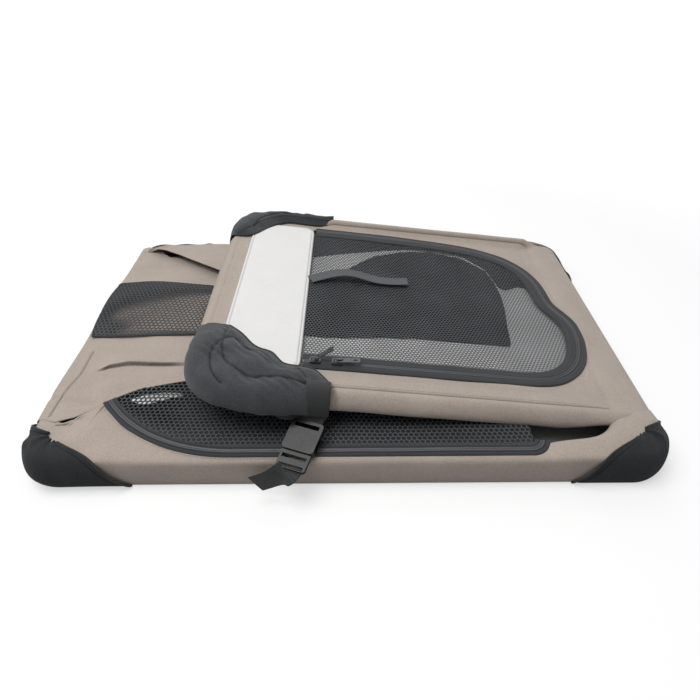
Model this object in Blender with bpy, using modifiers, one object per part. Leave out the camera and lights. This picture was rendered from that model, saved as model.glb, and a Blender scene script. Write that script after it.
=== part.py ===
"""Soft folding dog crate, folded flat and strapped shut.

A steel tube base loop carries two U-shaped end frames. The lower frame folds in from the left
and the upper frame folds over it from the right, a little tilted by the folded cloth. Every
frame is dressed in cloth, and the upper end wall holds a D-shaped zipped mesh door. Lengths are
in metres, X runs along the crate, Y from front to back and Z up, with the floor at Z = 0.
"""

import math

import bmesh
import bpy
import numpy as np
from mathutils import Matrix, Vector

# Whole crate, folded
CRATE_LENGTH = 0.66
CRATE_WIDTH = 0.46
FRAME_REACH = 0.467
FOLD_SETBACK = 0.012
UPPER_TILT_DEG = 6.8

# Gaps kept between pieces
SEAT_GAP = 0.0003
CLOTH_GAP = 0.0005
PIN_CLEARANCE = 0.0001

# Floor board and the cloth band round the base
FLOOR_THICKNESS = 0.005
BAND_FOOT = 0.0005
BAND_HEIGHT = 0.036
BAND_EDGE_RADIUS = 0.005
BASE_CORNER_RADIUS = 0.038
CLOTH_THICKNESS = 0.0015

# Steel tubes
TUBE_RADIUS = 0.008
UPPER_HALF_SPREAD = 0.185
LOWER_HALF_SPREAD = 0.163
FRAME_BEND_RADIUS = 0.045

# Hinges
UPPER_HINGE_HEIGHT = 0.031
LOWER_HINGE_HEIGHT = 0.0235
HINGE_INSET = 0.025
EYE_RADIUS = 0.009
EYE_WIDTH = 0.012
EYE_REACH = 0.0165
EYE_TONGUE = 0.0096
LUG_WIDTH = 0.004
LUG_FOOT_WIDTH = 0.006
LUG_FOOT_THICKNESS = 0.003
LUG_TAIL = 0.013
LUG_FOOT_SHARE = 0.65
PIN_RADIUS = 0.003
PIN_HEAD_RADIUS = 0.0048
PIN_HEAD_HEIGHT = 0.0016

# Base corner caps
CAP_CLOTH = 0.0013
FRONT_CAP_SPREAD = 0.105
BACK_CAP_SPREAD = 0.135
CAP_TOP_SPREAD = 0.034
CAP_TUCK = 0.001

# End walls on the frames
WALL_HINGE_TRIM = 0.0135
ROLL_BULGE = 0.0015
ROLL_CURL = 0.010
ROLL_REST_HEIGHT = 0.041
TIP_DROP = 0.0115
LOWER_DROP = 0.0095

# D-shaped door in the upper wall
DOOR_HINGE_REACH = 0.355
DOOR_FAR_REACH = 0.026
DOOR_FRONT_Y = -0.132
DOOR_BACK_Y = 0.172
DOOR_CORNER_RADIUS = 0.068
CHAIN_HALF_WIDTH = 0.0025
CHAIN_HEIGHT = 0.0018
CHAIN_CREST_SHARE = 0.7
TAPE_OUTER = 0.009
TAPE_INNER = 0.0046
TAPE_THICKNESS = 0.0010
DOOR_EDGE_GAP = 0.0052
DOOR_CLOTH = 0.0010
DOOR_TAPE_WIDTH = 0.0085
DOOR_SAG = 0.003

# Cream panel beside the door
PANEL_GAP = 0.0022
PANEL_WIDTH = 0.089
PANEL_FRONT_Y = -0.150
PANEL_BACK_Y = 0.183
PANEL_CORNER_RADIUS = 0.018

# Tie strap on the door
TIE_WIDTH = 0.018
TIE_THICKNESS = 0.0012
TIE_START_REACH = 0.350
TIE_LENGTH = 0.126
TIE_START_Y = 0.028
TIE_SKEW = 0.016
TIE_HUMP = 0.007
TIE_HUMP_SHARE = 0.4

# Corner caps of the upper frame
TOP_CAP_CLOTH = 0.0014
TOP_CAP_SIDE_REACH = 0.320
TOP_CAP_TIP_SPAN = 0.090
FRONT_CAP_INNER_DEPTH = 0.031
BACK_CAP_INNER_DEPTH = 0.0165
TOP_CAP_TIP_DEPTH = 0.022
TOP_CAP_WAIST_REACH = 0.380
FRONT_CAP_WAIST_DEPTH = 0.042
BACK_CAP_WAIST_DEPTH = 0.0185
TOP_CAP_PUFF = 0.006
TOP_CAP_SIDE_PUFF = 0.003
TOP_CAP_DROP = 0.030
TOP_CAP_TIP_DROP = 0.0155
TOP_CAP_HEM = 0.004
TOP_CAP_FALL_SHARES = (0.09, 0.3)
CAP_CROWN_SHARE = 1.2
CAP_SHOULDER_SHARES = (0.6, 0.75, 0.7)
CAP_BULGE_SHARE = 0.55

# Folded roof cloth under the tip of the upper frame
ROOF_THICKNESS = 0.0022
ROOF_LAYERS = 5
ROOF_TOP_DROP = 0.0215
ROOF_REST_HEIGHT = 0.0385
ROOF_NEAR_REACH = 0.335
ROOF_FAR_REACH = 0.480
ROOF_WIDTH = 0.284
ROOF_WAVE = 0.0010

# Side walls, folded in over the base
SIDE_EDGE_GAP = 0.0005
SIDE_CLOTH = 0.0012
SIDE_TOP = 0.0362
SIDE_FRONT_DEEP_Y = -0.108
SIDE_FRONT_SHALLOW_Y = -0.1885
SIDE_BACK_DEEP_Y = 0.126
SIDE_BACK_SHALLOW_Y = 0.2140
SIDE_DEEP_END_X = -0.060
SIDE_SHALLOW_START_X = 0.040
SIDE_DOOR_LEFT_INSET = 0.0315
SIDE_DOOR_RIGHT_INSET = 0.130
SIDE_DOOR_FRONT_Y = -0.2172
SIDE_DOOR_LEFT_RADIUS = 0.1835
SIDE_DOOR_RIGHT_RADIUS = 0.014
SIDE_DOOR_TOP_Y = -0.142
SIDE_DOOR_TOP_X = -0.170
SIDE_TAPE_HALF = 0.0065
SIDE_WINDOW_INSET = 0.004
SIDE_FOLD_HEIGHT = 0.004
FOLD_START_SHARE = 0.25

# Aprons over the hinges
APRON_RISE = 0.0018
APRON_EDGE_GAP = 0.0015
RIGHT_APRON_TOP = 0.0412
RIGHT_APRON_HEM = 0.0372
RIGHT_APRON_TRIM = 0.0020

# Mesh pocket on the lower wall
POCKET_INSET = 0.0118
POCKET_LENGTH = 0.1522
POCKET_FRONT_Y = -0.022
POCKET_BACK_Y = 0.100
POCKET_CLOTH = 0.0010
POCKET_PUFF = 0.0060
POCKET_LEFT_RISE = 0.0052
POCKET_FADE_SHARE = 0.75
WALL_WRINKLE = 0.0016
WALL_CREASES = 3

# Zip sliders and their pulls
SLIDER_LENGTH = 0.012
SLIDER_WIDTH = 0.0088
SLIDER_ROOF = 0.0012
SLIDER_CORNER_SHARE = 0.6
SLIDER_RUN_GAP = 0.0004
SLIDER_A_REACH = 0.342
SLIDER_B_REACH = 0.318
ARCH_WIDTH = 0.0018
ARCH_LENGTH = 0.0084
ARCH_HEIGHT = 0.0032
ARCH_WALL = 0.0010
PULL_WIDTH = 0.0070
PULL_THICKNESS = 0.0012
PULL_LENGTH = 0.0250
PULL_ROOT_WINDOW = 0.0062
PULL_ROOT_HALF_WIDTH = 0.0017
PULL_TIP_SLOT = 0.0050
PULL_TIP_SLOT_HALF = 0.0012
PULL_TIP_MARGIN = 0.0024
PULL_CORNER_SHARE = 0.45
PULL_A_LIFT_DEG = 42.0
PULL_B_LIFT_DEG = 5.0

# Closure straps
WEBBING_WIDTH = 0.025
TAIL_SLANT = (0.64, 0.0, -0.77)
WEBBING_THICKNESS = 0.0016
STRAP_REACH = 0.336
STRAP_ROOT_TOP = -0.0074
STRAP_ROOT_BOTTOM = -0.0130
STRAP_ANCHOR = -0.0115
STRAP_STAND_OFF = 0.0006
STRAP_LAP = 0.0028
STRAP_END_GAP = 0.0010
BUCKLE_WIDTH = 0.034
BUCKLE_THICKNESS = 0.0095
BUCKLE_BODY_LENGTH = 0.034
BUCKLE_CORNER = 0.004
BUCKLE_BAR = 0.0035
BUCKLE_SLOT = 0.0045
BUCKLE_SLOT_WIDTH = 0.026
SOCKET_DEPTH = 0.021
SOCKET_WIDTH = 0.0270
SOCKET_HEIGHT = 0.0056
SIDE_WINDOW_LENGTH = 0.011
SIDE_WINDOW_START = 0.007
MALE_LENGTH = 0.019
MALE_WIDTH = 0.031
MALE_THICKNESS = 0.0048
MALE_CORNER = 0.003
MALE_BAR = 0.0030
MALE_FIRST_SLOT = 0.0042
MALE_SLOT = 0.0040
PRONG_LENGTH = 0.0180
PRONG_WIDTH = 0.0042
PRONG_BARB = 0.0012
TONGUE_WIDTH = 0.0050
TONGUE_LENGTH = 0.0130
SOCKET_CLEARANCE = 0.0004
WEB_BEND_SHARES = (0.2, 0.45, 0.3)
TAIL_TURN_SHARES = (0.35, 0.7, 1.0)
PRONG_PROFILE_SHARES = (0.35, 0.45, 0.75, 0.15)
FRONT_STRAP_LEAD = (-0.0065, -0.0060)
FRONT_BUCKLE_LIFT = 0.0091
FRONT_BUCKLE_RUN = (-0.0150, -0.0400, -0.0110)
FRONT_TAIL_FALL = ((-0.006, -0.0030, -0.004), (-0.016, -0.0030, -0.0130), (-0.034, -0.0010, -0.0270))
BACK_STRAP_LEAD = (-0.0065, 0.0105)
BACK_BUCKLE_LIFT = 0.0076
BACK_BUCKLE_RUN = (-0.0120, 0.0340, -0.0200)
BACK_TAIL_FALL = ((-0.002, 0.0020, -0.003), (-0.008, 0.0035, -0.0065), (-0.018, 0.0035, -0.0085))

# Facets
ARC_STEPS = 7
ROUND_SEGMENTS = 24
LEG_STEPS = 10
SPAN_STEPS = 8
WELD_DISTANCE = 1e-6
CUT_OVERRUN = 0.01
COS_30 = math.cos(math.radians(30))

TAUPE = (0.430, 0.365, 0.310)
CHARCOAL = (0.040, 0.045, 0.050)
BLACK = (0.018, 0.018, 0.020)
CREAM = (0.870, 0.850, 0.810)
GREY = (0.130, 0.135, 0.150)
STEEL = (0.560, 0.570, 0.580)


class Crate:
    """The collections and materials of the model."""

    def __init__(self):
        self.parts = self.collection("soft_folding_dog_crate")
        self.cutters = self.collection("cutters")
        self.cutters.hide_render = True
        self.taupe_cloth = self.material("taupe_cloth", TAUPE, 0.85)
        self.black_cloth = self.material("black_cloth", CHARCOAL, 0.85)
        self.mesh_cloth = self.material("mesh_cloth", CHARCOAL, 0.75)
        self.cream_cloth = self.material("cream_cloth", CREAM, 0.80)
        self.zip_tape = self.material("zip_tape", BLACK, 0.65)
        self.tie_webbing = self.material("tie_webbing", GREY, 0.80)
        self.webbing = self.material("webbing", CHARCOAL, 0.80)
        self.steel = self.material("painted_steel_tube", STEEL, 0.35, 0.9)
        self.hinge_plastic = self.material("hinge_plastic", BLACK, 0.45)
        self.pin_steel = self.material("pin_steel", STEEL, 0.30, 1.0)
        self.buckle_plastic = self.material("buckle_plastic", BLACK, 0.22)
        self.slider_metal = self.material("slider_metal", BLACK, 0.30, 0.6)
        self.floor_board = self.material("floor_board", BLACK, 0.70)

    @staticmethod
    def collection(name):
        """A new collection, linked to the scene."""
        made = bpy.data.collections.new(name)
        bpy.context.scene.collection.children.link(made)
        return made

    @staticmethod
    def material(name, colour, roughness, metallic=0.0):
        """A Principled material of one colour."""
        made = bpy.data.materials.new(name)
        made.use_nodes = True
        shader = made.node_tree.nodes["Principled BSDF"]
        shader.inputs["Base Color"].default_value = (*colour, 1.0)
        shader.inputs["Roughness"].default_value = roughness
        shader.inputs["Metallic"].default_value = metallic
        return made

    def add(self, name, data, material, parent=None):
        """One named object in the parts collection."""
        made = bpy.data.objects.new(name, data)
        self.parts.objects.link(made)
        data.materials.append(material)
        made.parent = parent
        return made

    def cutter(self, name, data, parent=None):
        """A helper object that the build leaves out."""
        made = bpy.data.objects.new(name, data)
        self.cutters.objects.link(made)
        made.hide_render = True
        made.display_type = "WIRE"
        made.parent = parent
        return made

    def pivot(self, name, place, turn=(0.0, 0.0, 0.0), parent=None):
        """An empty on a joint's axis."""
        made = bpy.data.objects.new(name, None)
        self.parts.objects.link(made)
        made.location = place
        made.rotation_euler = turn
        made.parent = parent
        return made


def clear_scene():
    """Removes every object of the startup scene."""
    for found in list(bpy.data.objects):
        bpy.data.objects.remove(found, do_unlink=True)


def arc(centre, radius, start_deg, end_deg, steps=ARC_STEPS):
    """Points on an arc in a plane, both ends included."""
    return [
        (centre[0] + radius * math.cos(math.radians(turn)), centre[1] + radius * math.sin(math.radians(turn)))
        for turn in np.linspace(start_deg, end_deg, steps + 1)
    ]


def rounded_rectangle(half_x, half_y, radius, centre=(0.0, 0.0), steps=ARC_STEPS):
    """Outline of a rectangle with round corners, anticlockwise from its right-hand lower corner."""
    points = []
    for quarter, (side_x, side_y) in enumerate(((1, -1), (1, 1), (-1, 1), (-1, -1))):
        corner = (centre[0] + side_x * (half_x - radius), centre[1] + side_y * (half_y - radius))
        points += arc(corner, radius, -90 + 90 * quarter, 90 * quarter, steps)
    return points


def circle(centre, radius, steps=ROUND_SEGMENTS):
    """Points of a full circle."""
    return arc(centre, radius, 0, 360, steps)[:-1]


def add_spline(curve, points, cyclic):
    """A straight-sided spline through the points."""
    spline = curve.splines.new("POLY")
    spline.points.add(len(points) - 1)
    for target, point in zip(spline.points, points):
        target.co = (*point, *([0.0] * (3 - len(point))), 1.0)
    spline.use_cyclic_u = cyclic


def plate(crate, name, outlines, thickness, material, parent=None, place=None):
    """A flat outline with its holes, centred on its own plane."""
    curve = bpy.data.curves.new(name, "CURVE")
    curve.dimensions = "2D"
    curve.fill_mode = "BOTH"
    curve.extrude = thickness / 2
    for outline in outlines:
        add_spline(curve, outline, True)
    made = crate.add(name, curve, material, parent)
    made.matrix_basis = place or Matrix()
    return made


def tube(crate, name, points, radius, material, parent=None, cyclic=False, resolution=4):
    """A round tube along the points."""
    curve = bpy.data.curves.new(name, "CURVE")
    curve.dimensions = "3D"
    curve.bevel_depth = radius
    curve.bevel_resolution = resolution
    curve.use_fill_caps = not cyclic
    add_spline(curve, points, cyclic)
    return crate.add(name, curve, material, parent)


def joined_patches(name, patches):
    """One open surface from grids of points, welded where their edges meet, facing up."""
    surface = bmesh.new()
    for rows in patches:
        grid = [[surface.verts.new(point) for point in row] for row in rows]
        for first, second in zip(grid, grid[1:]):
            for here in range(len(first) - 1):
                surface.faces.new((first[here], first[here + 1], second[here + 1], second[here]))
    bmesh.ops.remove_doubles(surface, verts=surface.verts, dist=WELD_DISTANCE)
    bmesh.ops.recalc_face_normals(surface, faces=surface.faces)
    if sum(face.normal.z * face.calc_area() for face in surface.faces) < 0:
        bmesh.ops.reverse_faces(surface, faces=surface.faces)
    mesh = bpy.data.meshes.new(name)
    surface.to_mesh(mesh)
    surface.free()
    mesh.shade_smooth()
    return mesh


def sheet(crate, name, patches, thickness, material, parent=None, side=1):
    """A cloth sheet: the open surface of the patches, thickened to its upper or lower side."""
    made = crate.add(name, joined_patches(name, patches), material, parent)
    shell = made.modifiers.new("cloth", "SOLIDIFY")
    shell.thickness = thickness
    shell.offset = side
    return made


def ribbon(crate, name, path, widths, thickness, material, parent=None):
    """Webbing along a path, each point with its own half-width vector."""
    rows = [
        [tuple(Vector(point) - Vector(half)), tuple(Vector(point) + Vector(half))]
        for point, half in zip(path, widths)
    ]
    return sheet(crate, name, [rows], thickness, material, parent, side=0)


def swept_solid(crate, name, rings, material, parent=None):
    """A solid through closed section rings, capped at both ends."""
    solid = bmesh.new()
    loops = [[solid.verts.new(point) for point in ring] for ring in rings]
    for first, second in zip(loops, loops[1:]):
        for here in range(len(first)):
            after = (here + 1) % len(first)
            solid.faces.new((first[here], first[after], second[after], second[here]))
    solid.faces.new(loops[0])
    solid.faces.new(loops[-1])
    bmesh.ops.recalc_face_normals(solid, faces=solid.faces)
    mesh = bpy.data.meshes.new(name)
    solid.to_mesh(mesh)
    solid.free()
    return crate.add(name, mesh, material, parent)


def prism_mesh(name, outline, low, high):
    """A closed prism over an outline, between two heights."""
    solid = bmesh.new()
    floor = solid.faces.new([solid.verts.new((*point, low)) for point in outline])
    raised = bmesh.ops.extrude_face_region(solid, geom=[floor])["geom"]
    corners = [found for found in raised if isinstance(found, bmesh.types.BMVert)]
    bmesh.ops.translate(solid, verts=corners, vec=(0.0, 0.0, high - low))
    bmesh.ops.recalc_face_normals(solid, faces=solid.faces)
    mesh = bpy.data.meshes.new(name)
    solid.to_mesh(mesh)
    solid.free()
    return mesh


def box_mesh(name, low, high):
    """A closed box between two corners."""
    outline = [(low[0], low[1]), (high[0], low[1]), (high[0], high[1]), (low[0], high[1])]
    return prism_mesh(name, outline, low[2], high[2])


def cut(piece, cutter, operation="DIFFERENCE"):
    """A Boolean of the piece with a cutter."""
    change = piece.modifiers.new(f"{operation.lower()}_{cutter.name}", "BOOLEAN")
    change.operation = operation
    change.object = cutter
    change.solver = "EXACT"


def smoothstep(value):
    """Ease from 0 to 1."""
    held = min(max(value, 0.0), 1.0)
    return held * held * (3 - 2 * held)


def along_y():
    """Turns a local Z to world Y, so that a plate drawn as X and Z stands up."""
    return Matrix.Rotation(math.radians(90), 4, "X")


class Tub:
    """A U-shaped outline: two sides from an open end, joined round a closed end."""

    def __init__(self, open_x, end_x, low_y, high_y, radius):
        self.open_x, self.end_x = open_x, end_x
        self.low_y, self.high_y = low_y, high_y
        self.radius = radius
        self.way = math.copysign(1.0, end_x - open_x)

    def path(self, inset=0.0, legs=LEG_STEPS, span=SPAN_STEPS):
        """Points down the low side, round the end and back, moved in by the inset."""
        turn_x = self.end_x - self.way * self.radius
        low, high = self.low_y + self.radius, self.high_y - self.radius
        radius = self.radius - inset
        points = [(x, self.low_y + inset) for x in np.linspace(self.open_x, turn_x, legs + 1)[:-1]]
        points += [
            (turn_x + self.way * radius * math.sin(turn), low - radius * math.cos(turn))
            for turn in np.linspace(0, math.pi / 2, ARC_STEPS + 1)
        ]
        points += [(self.end_x - self.way * inset, y) for y in np.linspace(low, high, span + 1)[1:-1]]
        points += [
            (turn_x + self.way * radius * math.cos(turn), high + radius * math.sin(turn))
            for turn in np.linspace(0, math.pi / 2, ARC_STEPS + 1)
        ]
        points += [(x, self.high_y - inset) for x in np.linspace(turn_x, self.open_x, legs + 1)[1:]]
        return points

    def middle(self, legs=LEG_STEPS, span=SPAN_STEPS):
        """Rows of points over the flat middle, whose edges meet the path inset by the radius."""
        turn_x = self.end_x - self.way * self.radius
        xs = np.linspace(self.open_x, turn_x, legs + 1)
        ys = np.linspace(self.low_y + self.radius, self.high_y - self.radius, span + 1)
        return [[(x, y) for x in xs] for y in ys]


def tub_cloth(tub, profile, level):
    """Patches of a cloth over a tub: rim rows of (inset, height) and a middle at the level's height."""
    rim = [[(x, y, height(x, y)) for x, y in tub.path(inset)] for inset, height in profile]
    inner = [(x, y, level(x, y)) for x, y in tub.path(tub.radius)]
    middle = [[(x, y, level(x, y)) for x, y in row] for row in tub.middle()]
    return [[*rim, inner], middle]


def build_base(crate):
    """Floor board, tube loop, cloth band and the four corner caps."""
    half_x, half_y = CRATE_LENGTH / 2, CRATE_WIDTH / 2
    inside = CLOTH_THICKNESS + CLOTH_GAP
    floor_outline = rounded_rectangle(half_x - inside, half_y - inside, BASE_CORNER_RADIUS - inside)
    plate(crate, "floor_panel", [floor_outline], FLOOR_THICKNESS, crate.floor_board,
          place=Matrix.Translation((0, 0, FLOOR_THICKNESS / 2)))
    tube_inset = inside + TUBE_RADIUS
    tube_height = FLOOR_THICKNESS + SEAT_GAP + TUBE_RADIUS
    loop = rounded_rectangle(half_x - tube_inset, half_y - tube_inset, BASE_CORNER_RADIUS - tube_inset)
    tube(crate, "base_tube", [(x, y, tube_height) for x, y in loop], TUBE_RADIUS, crate.steel, cyclic=True)

    def ring(inset, height):
        points = rounded_rectangle(half_x - inset, half_y - inset, BASE_CORNER_RADIUS - inset)
        return [(x, y, height) for x, y in [*points, points[0]]]

    edge_centre = (BAND_EDGE_RADIUS, BAND_HEIGHT - BAND_EDGE_RADIUS)
    profile = [(0.0, BAND_FOOT), (0.0, BAND_HEIGHT / 2)]
    profile += arc(edge_centre, BAND_EDGE_RADIUS, 180, 90, 4)
    sheet(crate, "base_band", [[ring(inset, height) for inset, height in profile]], CLOTH_THICKNESS,
          crate.taupe_cloth, side=-1)
    build_base_caps(crate, half_x, half_y)


def band_point(half_x, half_y, along, outset):
    """A point on the band's outline beside its front-left corner, by arc length from the corner's middle."""
    radius = BASE_CORNER_RADIUS
    quarter = radius * math.pi / 4
    centre = (-half_x + radius, -half_y + radius)
    if abs(along) <= quarter:
        turn = math.radians(225) + along / radius
        return centre[0] + (radius + outset) * math.cos(turn), centre[1] + (radius + outset) * math.sin(turn)
    if along > 0:
        return centre[0] + along - quarter, -half_y - outset
    return -half_x - outset, centre[1] - along - quarter


def build_base_caps(crate, half_x, half_y):
    """Cloth corner caps, wide at the foot and narrow at the top, folded over the band's edge."""
    over = CLOTH_GAP
    top = BAND_HEIGHT + over
    levels = [(over, 2 * BAND_FOOT), (over, BAND_HEIGHT / 3), (over, BAND_HEIGHT - BAND_EDGE_RADIUS)]
    bend = arc((BAND_EDGE_RADIUS, BAND_HEIGHT - BAND_EDGE_RADIUS), BAND_EDGE_RADIUS + over, 180, 90, 3)[1:]
    levels += [(-inset, height) for inset, height in bend]
    levels.append((-BAND_EDGE_RADIUS - CAP_TUCK, top))
    for name, turn_x, turn_y, spread in (
        ("base_cap_front_left", 1, 1, FRONT_CAP_SPREAD),
        ("base_cap_front_right", -1, 1, FRONT_CAP_SPREAD),
        ("base_cap_back_left", 1, -1, BACK_CAP_SPREAD),
        ("base_cap_back_right", -1, -1, BACK_CAP_SPREAD),
    ):
        rows = []
        for outset, height in levels:
            half_span = CAP_TOP_SPREAD + (spread - CAP_TOP_SPREAD) * (1 - height / top)
            corner = BASE_CORNER_RADIUS * math.pi / 4
            bend_steps = np.linspace(-corner, corner, ARC_STEPS + 1)
            straight = np.linspace(corner, half_span, 3)[1:]
            steps = [*-straight[::-1], *bend_steps, *straight]
            points = [band_point(half_x, half_y, along, outset) for along in steps]
            rows.append([(turn_x * x, turn_y * y, height) for x, y in points])
        sheet(crate, name, [rows], CAP_CLOTH, crate.black_cloth)


def build_hinge(crate, prefix, side_x, height, half_spread, parent):
    """Brackets and pins on the base's end bar, and the eyes that end the frame's legs."""
    axis_x = side_x * (CRATE_LENGTH / 2 - HINGE_INSET)
    tube_top = FLOOR_THICKNESS + SEAT_GAP + 2 * TUBE_RADIUS
    foot = tube_top + SEAT_GAP
    for end, side_y in (("front", -1), ("back", 1)):
        leg_y = FOLD_SETBACK + side_y * half_spread
        eye_outline = arc((0, 0), EYE_RADIUS, -138, 138, 2 * ARC_STEPS)
        eye_outline = [(side_x * x, z) for x, z in eye_outline]
        eye_outline += [(-side_x * EYE_REACH, EYE_TONGUE / 2), (-side_x * EYE_REACH, -EYE_TONGUE / 2)]
        hole = circle((0, 0), PIN_RADIUS + PIN_CLEARANCE)
        plate(crate, f"{prefix}_eye_{end}", [eye_outline, hole], EYE_WIDTH, crate.hinge_plastic, parent,
              Matrix.Translation((0, leg_y, 0)) @ along_y())
        lug_y = leg_y + side_y * (EYE_WIDTH / 2 + SEAT_GAP + LUG_WIDTH / 2)
        bracket = build_bracket(crate, f"{prefix}_bracket_{end}", side_x, axis_x, height, foot, lug_y, side_y)
        bore = crate.cutter(f"{prefix}_bore_{end}", prism_mesh("bore", hole, -LUG_WIDTH, LUG_WIDTH))
        bore.matrix_basis = Matrix.Translation((axis_x, lug_y, height)) @ along_y()
        cut(bracket, bore)
        build_pin(crate, f"{prefix}_pin_{end}", (axis_x, lug_y, height), side_y)


def build_bracket(crate, name, side_x, axis_x, height, foot, lug_y, side_y):
    """A lug beside the eye with a foot that stands on the base's end bar."""
    root = foot + SEAT_GAP - height
    start = math.degrees(math.asin((root + LUG_FOOT_THICKNESS) / EYE_RADIUS))
    if root < -EYE_RADIUS:
        head = arc((0, 0), EYE_RADIUS, start, 270, 3 * ARC_STEPS) + [(0, root)]
    else:
        head = arc((0, 0), EYE_RADIUS, start, 360 + math.degrees(math.asin(root / EYE_RADIUS)), 3 * ARC_STEPS)
    outline = head + [(LUG_TAIL, root), (LUG_TAIL, root + LUG_FOOT_THICKNESS)]
    mesh = prism_mesh(name, [(side_x * x, z) for x, z in outline], -LUG_WIDTH / 2, LUG_WIDTH / 2)
    lug = crate.add(name, mesh, crate.hinge_plastic)
    lug.matrix_basis = Matrix.Translation((axis_x, lug_y, height)) @ along_y()
    outer = lug_y + side_y * (LUG_WIDTH / 2 + LUG_FOOT_WIDTH)
    inner = lug_y - side_y * LUG_WIDTH / 4
    start = axis_x + side_x * EYE_RADIUS * LUG_FOOT_SHARE
    stop = axis_x + side_x * (LUG_TAIL + CLOTH_GAP)
    low = (min(start, stop), min(inner, outer), foot)
    high = (max(start, stop), max(inner, outer), foot + LUG_FOOT_THICKNESS)
    sole = crate.cutter(f"{name}_foot", box_mesh("foot", low, high))
    cut(lug, sole, "UNION")
    return lug


def build_pin(crate, name, place, side_y):
    """A turned rivet through the lug and the eye, headed on the outside."""
    inner = -(LUG_WIDTH / 2 + SEAT_GAP + EYE_WIDTH)
    outer = LUG_WIDTH / 2 + SEAT_GAP
    profile = [
        (0, outer + PIN_HEAD_HEIGHT),
        (PIN_HEAD_RADIUS, outer + PIN_HEAD_HEIGHT / 2),
        (PIN_HEAD_RADIUS, outer),
        (PIN_RADIUS, outer),
        (PIN_RADIUS, inner),
        (0, inner),
    ]
    mesh = bpy.data.meshes.new(name)
    mesh.from_pydata([(x, 0, z) for x, z in profile], [(at, at + 1) for at in range(len(profile) - 1)], [])
    pin = crate.add(name, mesh, crate.pin_steel)
    turn = Matrix.Rotation(math.radians(-90 * side_y), 4, "X")
    pin.matrix_basis = Matrix.Translation(place) @ turn
    spin = pin.modifiers.new("turned", "SCREW")
    spin.steps = ROUND_SEGMENTS
    spin.render_steps = ROUND_SEGMENTS
    spin.use_merge_vertices = True
    spin.merge_threshold = WELD_DISTANCE * 10


def frame_tube(crate, name, half_spread, way, parent):
    """The U-shaped tube of an end frame, from its eyes round its tip."""
    start, end = way * (EYE_REACH + SEAT_GAP), way * FRAME_REACH
    outline = Tub(start, end, FOLD_SETBACK - half_spread, FOLD_SETBACK + half_spread, FRAME_BEND_RADIUS)
    points = [(x, y, 0.0) for x, y in outline.path(legs=1, span=1)]
    tube(crate, name, points, TUBE_RADIUS, crate.steel, parent)


def wall_tub(half_spread, way):
    """The outline that an end wall's cloth follows round its frame."""
    sleeve = TUBE_RADIUS + CLOTH_GAP
    return Tub(
        way * WALL_HINGE_TRIM,
        way * (FRAME_REACH + sleeve),
        FOLD_SETBACK - half_spread - sleeve,
        FOLD_SETBACK + half_spread + sleeve,
        FRAME_BEND_RADIUS + sleeve,
    )


def roll_drop(x, y):
    """How far the upper wall's roll hangs below its tube, down to where it rests on the side walls."""
    rise = UPPER_HINGE_HEIGHT + abs(x) * math.sin(math.radians(UPPER_TILT_DEG)) - ROLL_REST_HEIGHT
    hanging = max(rise - CLOTH_THICKNESS, TIP_DROP)
    side = abs(y - FOLD_SETBACK) - (UPPER_HALF_SPREAD - FRAME_BEND_RADIUS)
    return TIP_DROP + (hanging - TIP_DROP) * smoothstep(side / FRAME_BEND_RADIUS)


def door_tub(outset, start_reach=DOOR_HINGE_REACH):
    """The door's outline, moved out from the middle of its zip."""
    return Tub(
        -start_reach,
        -DOOR_FAR_REACH + outset,
        DOOR_FRONT_Y - outset,
        DOOR_BACK_Y + outset,
        DOOR_CORNER_RADIUS + outset,
    )


def zip_section(low, high, base):
    """Section of a zip: flat tape between two offsets, with the coil's ridge along its middle."""
    tape, ridge = base + TAPE_THICKNESS, base + TAPE_THICKNESS + CHAIN_HEIGHT
    crest = CHAIN_HALF_WIDTH * CHAIN_CREST_SHARE
    return [
        (low, base),
        (high, base),
        (high, tape),
        (CHAIN_HALF_WIDTH, tape),
        (crest, ridge),
        (-crest, ridge),
        (-CHAIN_HALF_WIDTH, tape),
        (low, tape),
    ]


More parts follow.
